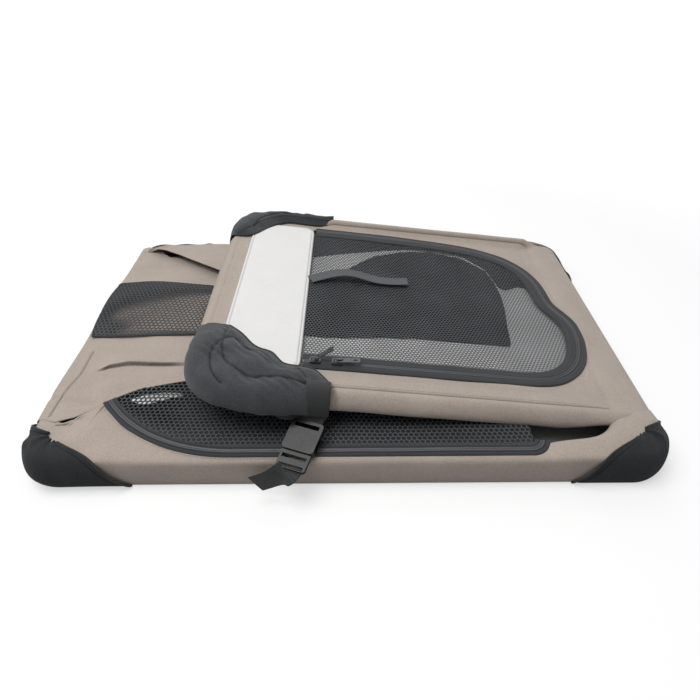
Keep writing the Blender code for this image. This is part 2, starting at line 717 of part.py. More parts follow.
def build_upper_frame(crate, pivot):
    """The right-hand end frame with its wall, zip track, cream panel and folded roof."""
    frame_tube(crate, "upper_frame_tube", UPPER_HALF_SPREAD, -1, pivot)
    tub = wall_tub(UPPER_HALF_SPREAD, -1)
    sleeve = TUBE_RADIUS + CLOTH_GAP
    profile = [
        (ROLL_CURL, lambda x, y: -roll_drop(x, y)),
        (sleeve / 4, lambda x, y: -roll_drop(x, y)),
        (0.0, lambda x, y: -roll_drop(x, y) + sleeve / 4),
        (-ROLL_BULGE, lambda x, y: -roll_drop(x, y) / 2),
        (0.0, lambda x, y: 0.0),
        (sleeve * (1 - COS_30), lambda x, y: sleeve / 2),
        (sleeve / 2, lambda x, y: sleeve * COS_30),
        (sleeve, lambda x, y: sleeve),
    ]
    wall = sheet(crate, "upper_end_wall", tub_cloth(tub, profile, lambda x, y: sleeve), CLOTH_THICKNESS,
                 crate.taupe_cloth, pivot)
    hole = door_tub(-SIDE_WINDOW_INSET).path(legs=1, span=1)
    opening = prism_mesh("door_opening", hole, -CUT_OVERRUN, 2 * CUT_OVERRUN)
    cut(wall, crate.cutter("door_opening", opening, pivot))

    face = sleeve + CLOTH_THICKNESS + SEAT_GAP
    section = zip_section(-TAPE_INNER, TAPE_OUTER, face)
    lanes = [[(x, y, height) for x, y in door_tub(outset).path(legs=2, span=2)] for outset, height in section]
    swept_solid(crate, "door_zip_track", [list(ring) for ring in zip(*lanes)], crate.zip_tape, pivot)

    near = -(DOOR_HINGE_REACH + PANEL_GAP)
    half = (PANEL_WIDTH / 2, (PANEL_BACK_Y - PANEL_FRONT_Y) / 2)
    centre = (near - half[0], (PANEL_BACK_Y + PANEL_FRONT_Y) / 2)
    plate(crate, "cream_panel", [rounded_rectangle(*half, PANEL_CORNER_RADIUS, centre)], DOOR_CLOTH,
          crate.cream_cloth, pivot, Matrix.Translation((0, 0, face + DOOR_CLOTH / 2)))
    build_top_caps(crate, tub, face, pivot)
    build_roof(crate, pivot)
    return face


def build_top_caps(crate, tub, face, pivot):
    """Puffed cloth caps over the two tip corners of the upper frame."""
    lift = face + DOOR_CLOTH + SEAT_GAP
    skin = CLOTH_THICKNESS + ROLL_BULGE + CLOTH_GAP
    for name, side in (("top_cap_front", -1), ("top_cap_back", 1)):
        turn_x = tub.end_x + tub.radius
        edge_y = tub.low_y if side < 0 else tub.high_y
        corner_y = edge_y - side * tub.radius
        start = np.linspace(-TOP_CAP_SIDE_REACH, turn_x, 4)[:-1]
        line = [((x, edge_y), (0.0, side)) for x in start]
        for turn in np.linspace(0, math.pi / 2, ARC_STEPS + 1):
            normal = (-math.sin(turn), side * math.cos(turn))
            line.append(((turn_x + tub.radius * normal[0], corner_y + tub.radius * normal[1]), normal))
        stop_y = edge_y - side * TOP_CAP_TIP_SPAN
        line += [((tub.end_x, y), (-1.0, 0.0)) for y in np.linspace(corner_y, stop_y, 3)[1:]]
        if side < 0:
            depth, waist = FRONT_CAP_INNER_DEPTH, FRONT_CAP_WAIST_DEPTH
        else:
            depth, waist = BACK_CAP_INNER_DEPTH, BACK_CAP_WAIST_DEPTH
        hem = [
            Vector((-TOP_CAP_SIDE_REACH, edge_y - side * depth)),
            Vector((-TOP_CAP_WAIST_REACH, edge_y - side * waist)),
            Vector((tub.end_x + TOP_CAP_TIP_DEPTH, stop_y)),
        ]
        columns = []
        for at, (place, normal) in enumerate(line):
            share = at / (len(line) - 1)
            swell = math.sin(math.pi * share)
            fall_start, fall_length = TOP_CAP_FALL_SHARES
            drop = TOP_CAP_HEM + (TOP_CAP_DROP - TOP_CAP_HEM) * smoothstep((share - fall_start) / fall_length)
            drop += (TOP_CAP_TIP_DROP - TOP_CAP_DROP) * smoothstep(2 * share - 1)
            inner = hem[0] * (1 - share) ** 2 + hem[1] * 2 * share * (1 - share) + hem[2] * share**2
            columns.append(cap_column(Vector(place), Vector(normal), inner, swell, drop, lift, skin))
        rows = [list(row) for row in zip(*columns)]
        sheet(crate, name, [rows], TOP_CAP_CLOTH, crate.black_cloth, pivot)


def cap_column(place, normal, inner, swell, drop, lift, skin):
    """One strip of a cap from its inner hem over the frame's edge to its lower hem."""
    sleeve = TUBE_RADIUS + CLOTH_GAP
    puff = TOP_CAP_PUFF * swell
    side_puff = TOP_CAP_SIDE_PUFF * swell
    crown = place + (inner - place).normalized() * sleeve * CAP_CROWN_SHARE
    across, up, puffed = CAP_SHOULDER_SHARES

    def at(spot, height):
        return (spot.x, spot.y, height)

    return [
        at(inner, lift),
        at(inner.lerp(crown, 0.5), lift + puff),
        at(crown, lift + puff),
        at(place + normal * skin * across, sleeve * up + puff * puffed),
        at(place + normal * (skin + side_puff), 0.0),
        at(place + normal * (skin + side_puff), -drop * CAP_BULGE_SHARE),
        at(place + normal * skin, -drop),
    ]


def build_roof(crate, pivot):
    """The roof cloth, folded in a wedge of layers under the upper frame's tip."""
    tilt = math.radians(UPPER_TILT_DEG)
    reaches = np.linspace(ROOF_FAR_REACH, ROOF_NEAR_REACH, 6)

    def layer_height(reach, layer):
        bottom = (ROOF_REST_HEIGHT - UPPER_HINGE_HEIGHT - reach * math.sin(tilt)) / math.cos(tilt)
        return -ROOF_TOP_DROP + (bottom + ROOF_TOP_DROP) * layer / (ROOF_LAYERS - 1)

    path = []
    for layer in range(ROOF_LAYERS):
        inward = layer % 2 == 0
        path += [(-reach, layer_height(reach, layer)) for reach in (reaches if inward else reaches[::-1])]
        if layer == ROOF_LAYERS - 1:
            break
        edge = ROOF_NEAR_REACH if inward else ROOF_FAR_REACH
        upper, lower = layer_height(edge, layer), layer_height(edge, layer + 1)
        turns = (90, -90) if inward else (90, 270)
        path += arc((-edge, (upper + lower) / 2), (upper - lower) / 2, *turns, 4)[1:-1]
    ys = np.linspace(FOLD_SETBACK - ROOF_WIDTH / 2, FOLD_SETBACK + ROOF_WIDTH / 2, SPAN_STEPS + 1)
    rows = [
        [(x, y, height + ROOF_WAVE * math.sin(4 * math.pi * at / SPAN_STEPS)) for at, y in enumerate(ys)]
        for x, height in path
    ]
    sheet(crate, "roof_panel", [rows], ROOF_THICKNESS, crate.taupe_cloth, pivot, side=0)


def build_door(crate, face, pivot):
    """The mesh door leaf with its zip tape and the tie strap."""
    leaf = door_tub(-DOOR_EDGE_GAP)
    middle_x = -(DOOR_HINGE_REACH + DOOR_FAR_REACH) / 2
    middle_y = (DOOR_FRONT_Y + DOOR_BACK_Y) / 2

    def sag(x, y):
        across = (x - middle_x) / (DOOR_HINGE_REACH - DOOR_FAR_REACH) * 2
        down = (y - middle_y) / (DOOR_BACK_Y - DOOR_FRONT_Y) * 2
        return face - DOOR_SAG * max(0.0, 1 - across**2) * max(0.0, 1 - down**2)

    flat = [(0.0, lambda x, y: face), (DOOR_TAPE_WIDTH, lambda x, y: face)]
    sheet(crate, "door_mesh", tub_cloth(leaf, flat, sag), DOOR_CLOTH, crate.mesh_cloth, pivot)
    low = face + DOOR_CLOTH + SEAT_GAP
    outer, inner = -DOOR_EDGE_GAP, -DOOR_EDGE_GAP - DOOR_TAPE_WIDTH
    section = [(inner, low), (outer, low), (outer, low + TAPE_THICKNESS), (inner, low + TAPE_THICKNESS)]
    lanes = [[(x, y, height) for x, y in door_tub(outset).path(legs=2, span=2)] for outset, height in section]
    swept_solid(crate, "door_zip_tape", [list(ring) for ring in zip(*lanes)], crate.zip_tape, pivot)

    base = face + DOOR_CLOTH + SEAT_GAP + TIE_THICKNESS / 2
    path, widths = [], []
    for share in np.linspace(0, 1, 15):
        hump = TIE_HUMP * math.sin(math.pi * min(share / TIE_HUMP_SHARE, 1.0)) ** 2
        path.append((-TIE_START_REACH + TIE_LENGTH * share, TIE_START_Y + TIE_SKEW * share, base + hump))
        widths.append((0.0, TIE_WIDTH / 2, 0.0))
    ribbon(crate, "tie_strap", path, widths, TIE_THICKNESS, crate.tie_webbing, pivot)


def build_lower_frame(crate, pivot):
    """The left-hand end frame, its wall and the mesh pocket."""
    frame_tube(crate, "lower_frame_tube", LOWER_HALF_SPREAD, 1, pivot)
    tub = wall_tub(LOWER_HALF_SPREAD, 1)
    sleeve = TUBE_RADIUS + CLOTH_GAP
    profile = [
        (sleeve / 3, lambda x, y: -LOWER_DROP),
        (0.0, lambda x, y: 0.0),
        (sleeve * (1 - COS_30), lambda x, y: sleeve / 2),
        (sleeve / 2, lambda x, y: sleeve * COS_30),
        (sleeve, lambda x, y: sleeve),
    ]

    def creases(x, y):
        fold = math.sin(2 * math.pi * (x + y) / FRAME_REACH * WALL_CREASES)
        return sleeve - WALL_WRINKLE * fold**2

    sheet(crate, "lower_end_wall", tub_cloth(tub, profile, creases), CLOTH_THICKNESS, crate.taupe_cloth, pivot)
    axis_x = -(CRATE_LENGTH / 2 - HINGE_INSET)
    base = sleeve + CLOTH_THICKNESS + SEAT_GAP
    rows = []
    for down in np.linspace(0, 1, SPAN_STEPS + 1):
        y = POCKET_FRONT_Y + (POCKET_BACK_Y - POCKET_FRONT_Y) * down
        row = []
        for across in np.linspace(0, 1, LEG_STEPS + 1):
            x = -CRATE_LENGTH / 2 + POCKET_INSET + POCKET_LENGTH * across - axis_x
            puff = math.sin(math.pi * across) ** 0.7 * math.sin(math.pi * down) ** 0.5
            fade = 1 - POCKET_FADE_SHARE * smoothstep(2 * across - 1)
            rise = POCKET_LEFT_RISE * (1 - smoothstep(5 * across - 1))
            row.append((x, y, base + rise + POCKET_PUFF * puff * fade))
        rows.append(row)
    sheet(crate, "mesh_pocket", [rows], POCKET_CLOTH, crate.mesh_cloth, pivot)


def side_depth(x, deep, shallow):
    """How far in a side wall reaches: deep beside the lower frame, shallow beside the upper one."""
    share = (x - SIDE_DEEP_END_X) / (SIDE_SHALLOW_START_X - SIDE_DEEP_END_X)
    return deep + (shallow - deep) * smoothstep(share)


def build_side_walls(crate):
    """The two long walls, folded in on the base, and the zipped mesh door of the front one."""
    half_x, half_y = CRATE_LENGTH / 2, CRATE_WIDTH / 2
    inset = BAND_EDGE_RADIUS + SIDE_EDGE_GAP
    outline = rounded_rectangle(half_x - inset, half_y - inset, BASE_CORNER_RADIUS - inset)
    inside = prism_mesh("base_inside", outline, 0.0, 2 * BAND_HEIGHT)
    bottom = SIDE_TOP - SIDE_CLOTH
    for name, outer, deep, shallow in (
        ("front_side_wall", -half_y, SIDE_FRONT_DEEP_Y, SIDE_FRONT_SHALLOW_Y),
        ("back_side_wall", half_y, SIDE_BACK_DEEP_Y, SIDE_BACK_SHALLOW_Y),
    ):
        rows = []
        for share in np.linspace(0, 1, 5):
            row = []
            for x in np.linspace(-half_x, half_x, 2 * LEG_STEPS + 1):
                y = outer + (side_depth(x, deep, shallow) - outer) * share
                raised = smoothstep((SIDE_DEEP_END_X - x) / CRATE_WIDTH) if outer > 0 else 0.0
                raised *= smoothstep((x + half_x - BASE_CORNER_RADIUS) / BASE_CORNER_RADIUS)
                wave = math.sin(math.pi * max(share - FOLD_START_SHARE, 0.0) / (1 - FOLD_START_SHARE))
                fold = SIDE_FOLD_HEIGHT * raised * wave
                row.append((x, y, bottom + fold))
            rows.append(row)
        wall = sheet(crate, name, [rows], SIDE_CLOTH, crate.taupe_cloth)
        cut(wall, crate.cutter(f"{name}_limit", inside.copy()), "INTERSECT")
        if name == "front_side_wall":
            opening = prism_mesh(
                "side_door_opening", side_door_outline(-SIDE_WINDOW_INSET, CUT_OVERRUN), 0.0, 2 * BAND_HEIGHT
            )
            cut(wall, crate.cutter("side_door_opening", opening))
    build_side_door(crate)


def side_door_path(outset):
    """The front zip's line, from its left-hand end round to its right-hand end."""
    left = -CRATE_LENGTH / 2 + SIDE_DOOR_LEFT_INSET - outset
    right = CRATE_LENGTH / 2 - SIDE_DOOR_RIGHT_INSET + outset
    front = SIDE_DOOR_FRONT_Y - outset
    big, small = SIDE_DOOR_LEFT_RADIUS + outset, SIDE_DOOR_RIGHT_RADIUS + outset
    centre = (left + big, front + big)
    start = math.degrees(math.asin((centre[1] - SIDE_DOOR_TOP_Y) / big))
    points = arc(centre, big, 180 + start, 270, 2 * ARC_STEPS)
    points += arc((right - small, front + small), small, 270, 350, ARC_STEPS)
    return points


def side_door_outline(outset, overrun):
    """The front door's whole outline: the zip's line closed along the wall's inner edge, or past it."""
    points = side_door_path(outset)
    stations = [points[-1][0], *np.linspace(SIDE_SHALLOW_START_X, SIDE_DEEP_END_X, 7)]
    inner = [(x, side_depth(x, SIDE_FRONT_DEEP_Y, SIDE_FRONT_SHALLOW_Y) + overrun) for x in stations]
    return points + inner + [(SIDE_DOOR_TOP_X, SIDE_FRONT_DEEP_Y + overrun)]


def build_side_door(crate):
    """Mesh and zip of the front wall's door."""
    section = zip_section(-SIDE_TAPE_HALF, SIDE_TAPE_HALF, SIDE_TOP + SEAT_GAP)
    lanes = [[(x, y, height) for x, y in side_door_path(outset)] for outset, height in section]
    swept_solid(crate, "front_side_zip", [list(ring) for ring in zip(*lanes)], crate.zip_tape)
    window = side_door_outline(-SIDE_WINDOW_INSET - CLOTH_GAP, 0.0)
    mesh = prism_mesh("front_side_mesh", window, SIDE_TOP - SIDE_CLOTH, SIDE_TOP)
    crate.add("front_side_mesh", mesh, crate.mesh_cloth)


def build_aprons(crate):
    """Cloth strips that cover the hinges between the band and the end walls."""
    half_x, half_y = CRATE_LENGTH / 2, CRATE_WIDTH / 2
    inset = BAND_EDGE_RADIUS + APRON_EDGE_GAP
    hinge_x = half_x - HINGE_INSET
    left_end = -(hinge_x - WALL_HINGE_TRIM) - CLOTH_GAP
    low = SIDE_TOP - SIDE_CLOTH
    ys = np.linspace(SIDE_FRONT_DEEP_Y + CLOTH_GAP, SIDE_BACK_DEEP_Y - CLOTH_GAP, SPAN_STEPS + 1)
    rows = [
        [(x, y, low + APRON_RISE * share * abs(math.sin(at))) for at, y in enumerate(ys)]
        for x, share in zip(np.linspace(-half_x + inset, left_end, 4), np.linspace(0, 1, 4))
    ]
    sheet(crate, "left_apron", [rows], SIDE_CLOTH, crate.taupe_cloth)

    reach = UPPER_HALF_SPREAD + EYE_WIDTH / 2 + SEAT_GAP + LUG_WIDTH + SEAT_GAP + PIN_HEAD_HEIGHT
    inner = hinge_x - WALL_HINGE_TRIM + RIGHT_APRON_TRIM
    ys = [-reach - RIGHT_APRON_TRIM, *np.linspace(-reach, reach, SPAN_STEPS + 1), reach + RIGHT_APRON_TRIM]
    lifts = [RIGHT_APRON_HEM - RIGHT_APRON_TOP, *([0.0] * (SPAN_STEPS + 1)), RIGHT_APRON_HEM - RIGHT_APRON_TOP]
    path = [
        (half_x, low, 0.0),
        (half_x - inset, low, 0.0),
        (hinge_x + EYE_RADIUS, (low + RIGHT_APRON_TOP) / 2 + CLOTH_GAP, 0.5),
        (hinge_x + EYE_RADIUS / 2, RIGHT_APRON_TOP, 1.0),
        (hinge_x, RIGHT_APRON_TOP + CLOTH_GAP, 1.0),
        (inner, RIGHT_APRON_TOP + 2 * CLOTH_GAP, 1.0),
    ]
    rows = [[(x, FOLD_SETBACK + y, z + lift * share) for y, lift in zip(ys, lifts)] for x, z, share in path]
    apron = sheet(crate, "right_apron", [rows], SIDE_CLOTH, crate.taupe_cloth)
    outline = rounded_rectangle(half_x - inset, half_y - inset, BASE_CORNER_RADIUS - inset)
    limit = prism_mesh("apron_limit", outline, 0.0, 2 * BAND_HEIGHT)
    cut(apron, crate.cutter("apron_limit", limit), "INTERSECT")


def build_slider(crate, name, reach, lift_deg, face, pivot):
    """A zip slider astride the coil, its arch, and the pull hinged in the arch."""
    top = face + TAPE_THICKNESS + CHAIN_HEIGHT + SLIDER_RUN_GAP
    roof = top + SLIDER_ROOF
    place = (-reach, DOOR_FRONT_Y, 0.0)
    half_l, half_w = SLIDER_LENGTH / 2, SLIDER_WIDTH / 2
    outline = rounded_rectangle(half_l, half_w, half_w * SLIDER_CORNER_SHARE)
    mesh = prism_mesh(name, outline, face + TAPE_THICKNESS + SEAT_GAP, roof)
    body = crate.add(name, mesh, crate.slider_metal, pivot)
    body.location = place
    tunnel_half = CHAIN_HALF_WIDTH + SLIDER_RUN_GAP
    arch_half = (ARCH_LENGTH / 2, ARCH_WIDTH / 2)
    arch_low, arch_top = roof - SLIDER_ROOF / 2, roof + ARCH_HEIGHT
    inner_l = arch_half[0] - ARCH_WALL
    for part, low, high, operation in (
        ("tunnel", (-SLIDER_LENGTH, -tunnel_half, 0.0), (SLIDER_LENGTH, tunnel_half, top), "DIFFERENCE"),
        ("arch", (-arch_half[0], -arch_half[1], arch_low), (*arch_half, arch_top), "UNION"),
        ("arch_gap", (-inner_l, -ARCH_WIDTH, roof), (inner_l, ARCH_WIDTH, arch_top - ARCH_WALL), "DIFFERENCE"),
    ):
        tool = crate.cutter(f"{name}_{part}", box_mesh(part, low, high), pivot)
        tool.location = place
        cut(body, tool, operation)
    bar_height = (roof + arch_top - ARCH_WALL) / 2
    hinge_place = (-reach, DOOR_FRONT_Y, bar_height)
    hinge = crate.pivot(f"{name}_pull_pivot", hinge_place, (0.0, -math.radians(lift_deg), 0.0), pivot)
    build_pull(crate, name.replace("slider", "pull"), hinge)


def build_pull(crate, name, hinge):
    """A flat pull: a root window round the arch, a long tab and an oval hole near its tip."""
    root = PULL_THICKNESS / 2
    half = PULL_WIDTH / 2
    middle = (PULL_LENGTH / 2 - root, 0.0)
    outline = rounded_rectangle(PULL_LENGTH / 2, half, half * PULL_CORNER_SHARE, middle)
    window_half_x = (PULL_ROOT_WINDOW - root) / 2
    window = rounded_rectangle(window_half_x, PULL_ROOT_HALF_WIDTH, root, (root + window_half_x, 0.0), 2)
    tip = PULL_LENGTH - root - PULL_TIP_MARGIN - PULL_TIP_SLOT / 2
    slot = rounded_rectangle(PULL_TIP_SLOT / 2, PULL_TIP_SLOT_HALF, PULL_TIP_SLOT_HALF, (tip, 0.0), 4)
    plate(crate, name, [outline, window, slot], PULL_THICKNESS, crate.slider_metal, hinge)


def frame_along(start, run, up_hint):
    """A matrix whose X runs along the strap and whose Z points off its face."""
    ahead = Vector(run).normalized()
    across = Vector(up_hint).cross(ahead).normalized()
    out = ahead.cross(across).normalized()
    turned = Matrix((ahead, across, out)).transposed().to_4x4()
    return Matrix.Translation(start) @ turned


def build_strap(crate, end, side, lead_out, buckle_height, run, fall):
    """A closure strap: the root on the roll, the web down to the buckle's height, the buckle and the tail."""
    tilt = math.radians(UPPER_TILT_DEG)
    tub = wall_tub(UPPER_HALF_SPREAD, -1)
    skin = CLOTH_THICKNESS + ROLL_BULGE + STRAP_STAND_OFF + WEBBING_THICKNESS / 2
    face_y = (tub.low_y if side < 0 else tub.high_y) + side * skin
    hinge_x = CRATE_LENGTH / 2 - HINGE_INSET

    def on_roll(height, y):
        return Vector((
            hinge_x - STRAP_REACH * math.cos(tilt) + height * math.sin(tilt),
            y,
            UPPER_HINGE_HEIGHT + STRAP_REACH * math.sin(tilt) + height * math.cos(tilt),
        ))

    half = Vector((WEBBING_WIDTH / 2, 0.0, 0.0))
    root = [on_roll(STRAP_ROOT_TOP, face_y), on_roll(STRAP_ROOT_BOTTOM, face_y)]
    ribbon(crate, f"strap_root_{end}", root, [half, half], WEBBING_THICKNESS, crate.webbing)
    anchor = on_roll(STRAP_ANCHOR, face_y + side * STRAP_LAP)
    pivot = crate.pivot(f"strap_pivot_{end}", anchor)

    start = Vector((*lead_out, buckle_height - anchor.z))
    frame = frame_along(start, run, (0.0, 0.0, 1.0))
    ahead, across = frame.col[0].to_3d(), frame.col[1].to_3d()
    wide = across * math.copysign(WEBBING_WIDTH / 2, across.x)
    bend_x, bend_z, turned = WEB_BEND_SHARES
    lead = [
        Vector((0.0, 0.0, 0.0)),
        Vector((start.x * bend_x, 0.0, start.z * bend_z)),
        start - ahead * (STRAP_END_GAP + WEBBING_THICKNESS),
        start - ahead * STRAP_END_GAP,
    ]
    ribbon(crate, f"strap_web_{end}", lead, [half, half.lerp(wide, turned), wide, wide], WEBBING_THICKNESS,
           crate.webbing, pivot)
    build_buckle_body(crate, end, frame, pivot)
    build_buckle_male(crate, end, frame, pivot)

    leave = start + ahead * (BUCKLE_BODY_LENGTH + SEAT_GAP + MALE_LENGTH + STRAP_END_GAP)
    tail = [leave, leave + ahead * WEBBING_THICKNESS] + [leave + Vector(step) for step in fall]
    slanted = Vector(TAIL_SLANT) * (WEBBING_WIDTH / 2)
    spans = [wide, wide]
    spans += [wide.lerp(slanted, share).normalized() * WEBBING_WIDTH / 2 for share in TAIL_TURN_SHARES]
    ribbon(crate, f"strap_tail_{end}", tail, spans, WEBBING_THICKNESS, crate.webbing, pivot)


def build_buckle_body(crate, end, frame, pivot):
    """The socket half: strap bar and slot, the socket, and a window on each side."""
    length, half = BUCKLE_BODY_LENGTH, BUCKLE_WIDTH / 2
    outline = rounded_rectangle(length / 2, half, BUCKLE_CORNER, (length / 2, 0.0))
    name = f"buckle_body_{end}"
    mesh = prism_mesh(name, outline, -BUCKLE_THICKNESS / 2, BUCKLE_THICKNESS / 2)
    body = crate.add(name, mesh, crate.buckle_plastic, pivot)
    body.matrix_basis = frame
    window_end = length - SIDE_WINDOW_START
    for part, near, far, half_width, half_height in (
        ("slot", BUCKLE_BAR, BUCKLE_BAR + BUCKLE_SLOT, BUCKLE_SLOT_WIDTH / 2, BUCKLE_THICKNESS),
        ("socket", length - SOCKET_DEPTH, length + SOCKET_DEPTH, SOCKET_WIDTH / 2, SOCKET_HEIGHT / 2),
        ("windows", window_end - SIDE_WINDOW_LENGTH, window_end, BUCKLE_WIDTH, SOCKET_HEIGHT / 2),
    ):
        hollow = box_mesh(part, (near, -half_width, -half_height), (far, half_width, half_height))
        tool = crate.cutter(f"{name}_{part}", hollow, pivot)
        tool.matrix_basis = frame
        cut(body, tool)


def build_buckle_male(crate, end, frame, pivot):
    """The plug half: two barbed prongs, a guide tongue and the adjuster bars."""
    base = BUCKLE_BODY_LENGTH + SEAT_GAP
    half = MALE_WIDTH / 2
    reach = SOCKET_WIDTH / 2 - SOCKET_CLEARANCE
    tip = base - PRONG_LENGTH
    prong_in = reach - PRONG_BARB - PRONG_WIDTH
    neck, barb, taper, crotch = (base - PRONG_LENGTH * share for share in PRONG_PROFILE_SHARES)
    side_outline = [
        (base, reach - PRONG_BARB),
        (neck, reach - PRONG_BARB),
        (barb, reach),
        (taper, reach),
        (tip, reach - PRONG_WIDTH),
        (tip, prong_in),
        (crotch, prong_in),
    ]
    tongue = [(crotch, TONGUE_WIDTH / 2), (base - TONGUE_LENGTH, TONGUE_WIDTH / 2)]
    upper = side_outline + tongue
    lower = [(x, -y) for x, y in reversed(upper)]
    shoulder = rounded_rectangle(MALE_LENGTH / 2, half, MALE_CORNER, (base + MALE_LENGTH / 2, 0.0))
    quarter = len(shoulder) // 4
    outer = shoulder[:2 * quarter] + [(base, half)]
    outline = [(base, -half)] + outer + upper + lower
    slots = []
    half_slot = BUCKLE_SLOT_WIDTH / 2
    for low in (base + MALE_FIRST_SLOT, base + MALE_FIRST_SLOT + MALE_SLOT + 2 * MALE_BAR):
        high = low + MALE_SLOT
        slots.append([(low, -half_slot), (high, -half_slot), (high, half_slot), (low, half_slot)])
    plate(crate, f"buckle_plug_{end}", [outline, *slots], MALE_THICKNESS, crate.buckle_plastic, pivot, frame)


def main():
    """Builds the crate in its own frame."""
    clear_scene()
    crate = Crate()
    hinge_x = CRATE_LENGTH / 2 - HINGE_INSET
    tilt = (0.0, math.radians(UPPER_TILT_DEG), 0.0)
    upper = crate.pivot("upper_frame_pivot", (hinge_x, 0.0, UPPER_HINGE_HEIGHT), tilt)
    lower = crate.pivot("lower_frame_pivot", (-hinge_x, 0.0, LOWER_HINGE_HEIGHT))
    build_base(crate)
    build_hinge(crate, "upper", 1, UPPER_HINGE_HEIGHT, UPPER_HALF_SPREAD, upper)
    build_hinge(crate, "lower", -1, LOWER_HINGE_HEIGHT, LOWER_HALF_SPREAD, lower)
    build_lower_frame(crate, lower)
    face = build_upper_frame(crate, upper)
    build_door(crate, face, upper)
    build_slider(crate, "zip_slider_a", SLIDER_A_REACH, PULL_A_LIFT_DEG, face, upper)
    build_slider(crate, "zip_slider_b", SLIDER_B_REACH, PULL_B_LIFT_DEG, face, upper)
    build_side_walls(crate)
    build_aprons(crate)
    zip_top = SIDE_TOP + SEAT_GAP + TAPE_THICKNESS + CHAIN_HEIGHT
    front_height = zip_top + BUCKLE_THICKNESS / 2 + FRONT_BUCKLE_LIFT
    back_height = BAND_HEIGHT + BUCKLE_THICKNESS / 2 + BACK_BUCKLE_LIFT
    build_strap(crate, "front", -1, FRONT_STRAP_LEAD, front_height, FRONT_BUCKLE_RUN, FRONT_TAIL_FALL)
    build_strap(crate, "back", 1, BACK_STRAP_LEAD, back_height, BACK_BUCKLE_RUN, BACK_TAIL_FALL)


main()
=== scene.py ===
"""Soft folding dog crate, folded flat and strapped: its cloth, mesh, zips and webbing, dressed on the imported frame.

Lengths are metres in the row frame; only lists handed to mm() are in millimetres. Pieces of the upper end
frame are worked out in that frame's own coordinates (x towards the hinge, y across the crate, w off its face)
and then tilted into place."""

from __future__ import annotations

import logging
import math
from collections.abc import Callable
from dataclasses import dataclass
from enum import Enum
from functools import partialmethod

import bpy
import numpy as np
from mathutils import Matrix, Vector


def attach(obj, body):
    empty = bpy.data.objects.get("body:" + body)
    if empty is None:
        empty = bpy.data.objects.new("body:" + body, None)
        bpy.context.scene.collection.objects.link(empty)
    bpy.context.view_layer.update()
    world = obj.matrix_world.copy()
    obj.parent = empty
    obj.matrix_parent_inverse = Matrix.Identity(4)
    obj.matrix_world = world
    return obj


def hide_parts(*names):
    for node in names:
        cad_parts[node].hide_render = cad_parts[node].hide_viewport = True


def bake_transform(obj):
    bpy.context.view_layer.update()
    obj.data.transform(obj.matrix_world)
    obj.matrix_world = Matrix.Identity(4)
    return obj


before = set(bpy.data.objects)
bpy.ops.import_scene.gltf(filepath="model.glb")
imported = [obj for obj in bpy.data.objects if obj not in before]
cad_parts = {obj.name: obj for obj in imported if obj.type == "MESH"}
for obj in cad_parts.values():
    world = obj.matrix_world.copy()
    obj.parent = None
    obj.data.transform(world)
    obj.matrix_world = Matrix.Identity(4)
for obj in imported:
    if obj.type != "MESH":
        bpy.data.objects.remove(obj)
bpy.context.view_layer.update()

log = logging.getLogger("crate")
Array = np.ndarray
Thing = bpy.types.Object
Material = bpy.types.Material

HALF_X, HALF_Y = 0.33, 0.23
CORNER_RADIUS = 0.038
TILT = math.radians(6.8)
UPPER_HINGE_X, UPPER_HINGE_Z = 0.305, 0.031
TRACK_POINTS = 3000
SHARP_EDGE = math.radians(35)
LEAST_WIDTH = 0.0101
THREAD, THICK_THREAD, BINDING = 0.00025, 0.00028, 0.0011
UV_NAME = "cloth_uv"
UP = (0.0, 0.0, 1.0)
SEEN_FROM = (0.0, -0.78, 0.62)
UNDER_CREAM_X = -0.3585
STRAP_X = -0.3363
LEFT_BEND = (("base", "lower_frame"), (-0.324, 0, 0.034), (-0.296, 0, 0.034))
RIGHT_BEND = (("base", "upper_frame"), (0.322, 0, 0.04), (0.296, 0, 0.04))


# ---------------------------------------------------------------- maths


def smooth(value: Array | float, low: float = 0.0, high: float = 1.0) -> Array:
    """Smoothstep: 0 below low, 1 above high, and 3t^2 - 2t^3 between them."""
    share = np.clip((np.asarray(value, float) - low) / (high - low), 0.0, 1.0)
    return share * share * (3.0 - 2.0 * share)


def bell(value: Array | float, middle: float, width: float) -> Array:
    """A hump of height 1 at the middle: e^(-(distance/width)^2)."""
    return np.exp(-(((np.asarray(value, float) - middle) / width) ** 2))


def mm(values: list | tuple) -> Array:
    """Millimetres as metres."""
    return np.array(values, float) / 1000


def unit(vectors: Array) -> Array:
    """The vectors at length 1."""
    return vectors / np.maximum(np.linalg.norm(vectors, axis=-1, keepdims=True), 1e-12)


def lifted(flat: Array, height: Array | float) -> Array:
    """Plane places, each given its height or all the same one."""
    level = np.broadcast_to(np.asarray(height, float), flat.shape[:-1])
    return np.concatenate([flat, level[..., None]], axis=-1)


def between(one: Array, two: Array, shares: Array) -> Array:
    """A ruled grid from one line to another: a row at each share of the way."""
    return one[None] + (two - one)[None] * shares[:, None, None]


def from_ends(count: int) -> Array:
    """How many steps each of so many places is from the nearer end."""
    return np.minimum(np.arange(count), np.arange(count)[::-1])


def looks_in(quad: Array, outward: Array | tuple) -> bool:
    """Whether a face's order of corners makes it look against the outward direction."""
    return bool(np.cross(quad[1] - quad[0], quad[3] - quad[0]) @ np.asarray(outward) < 0)


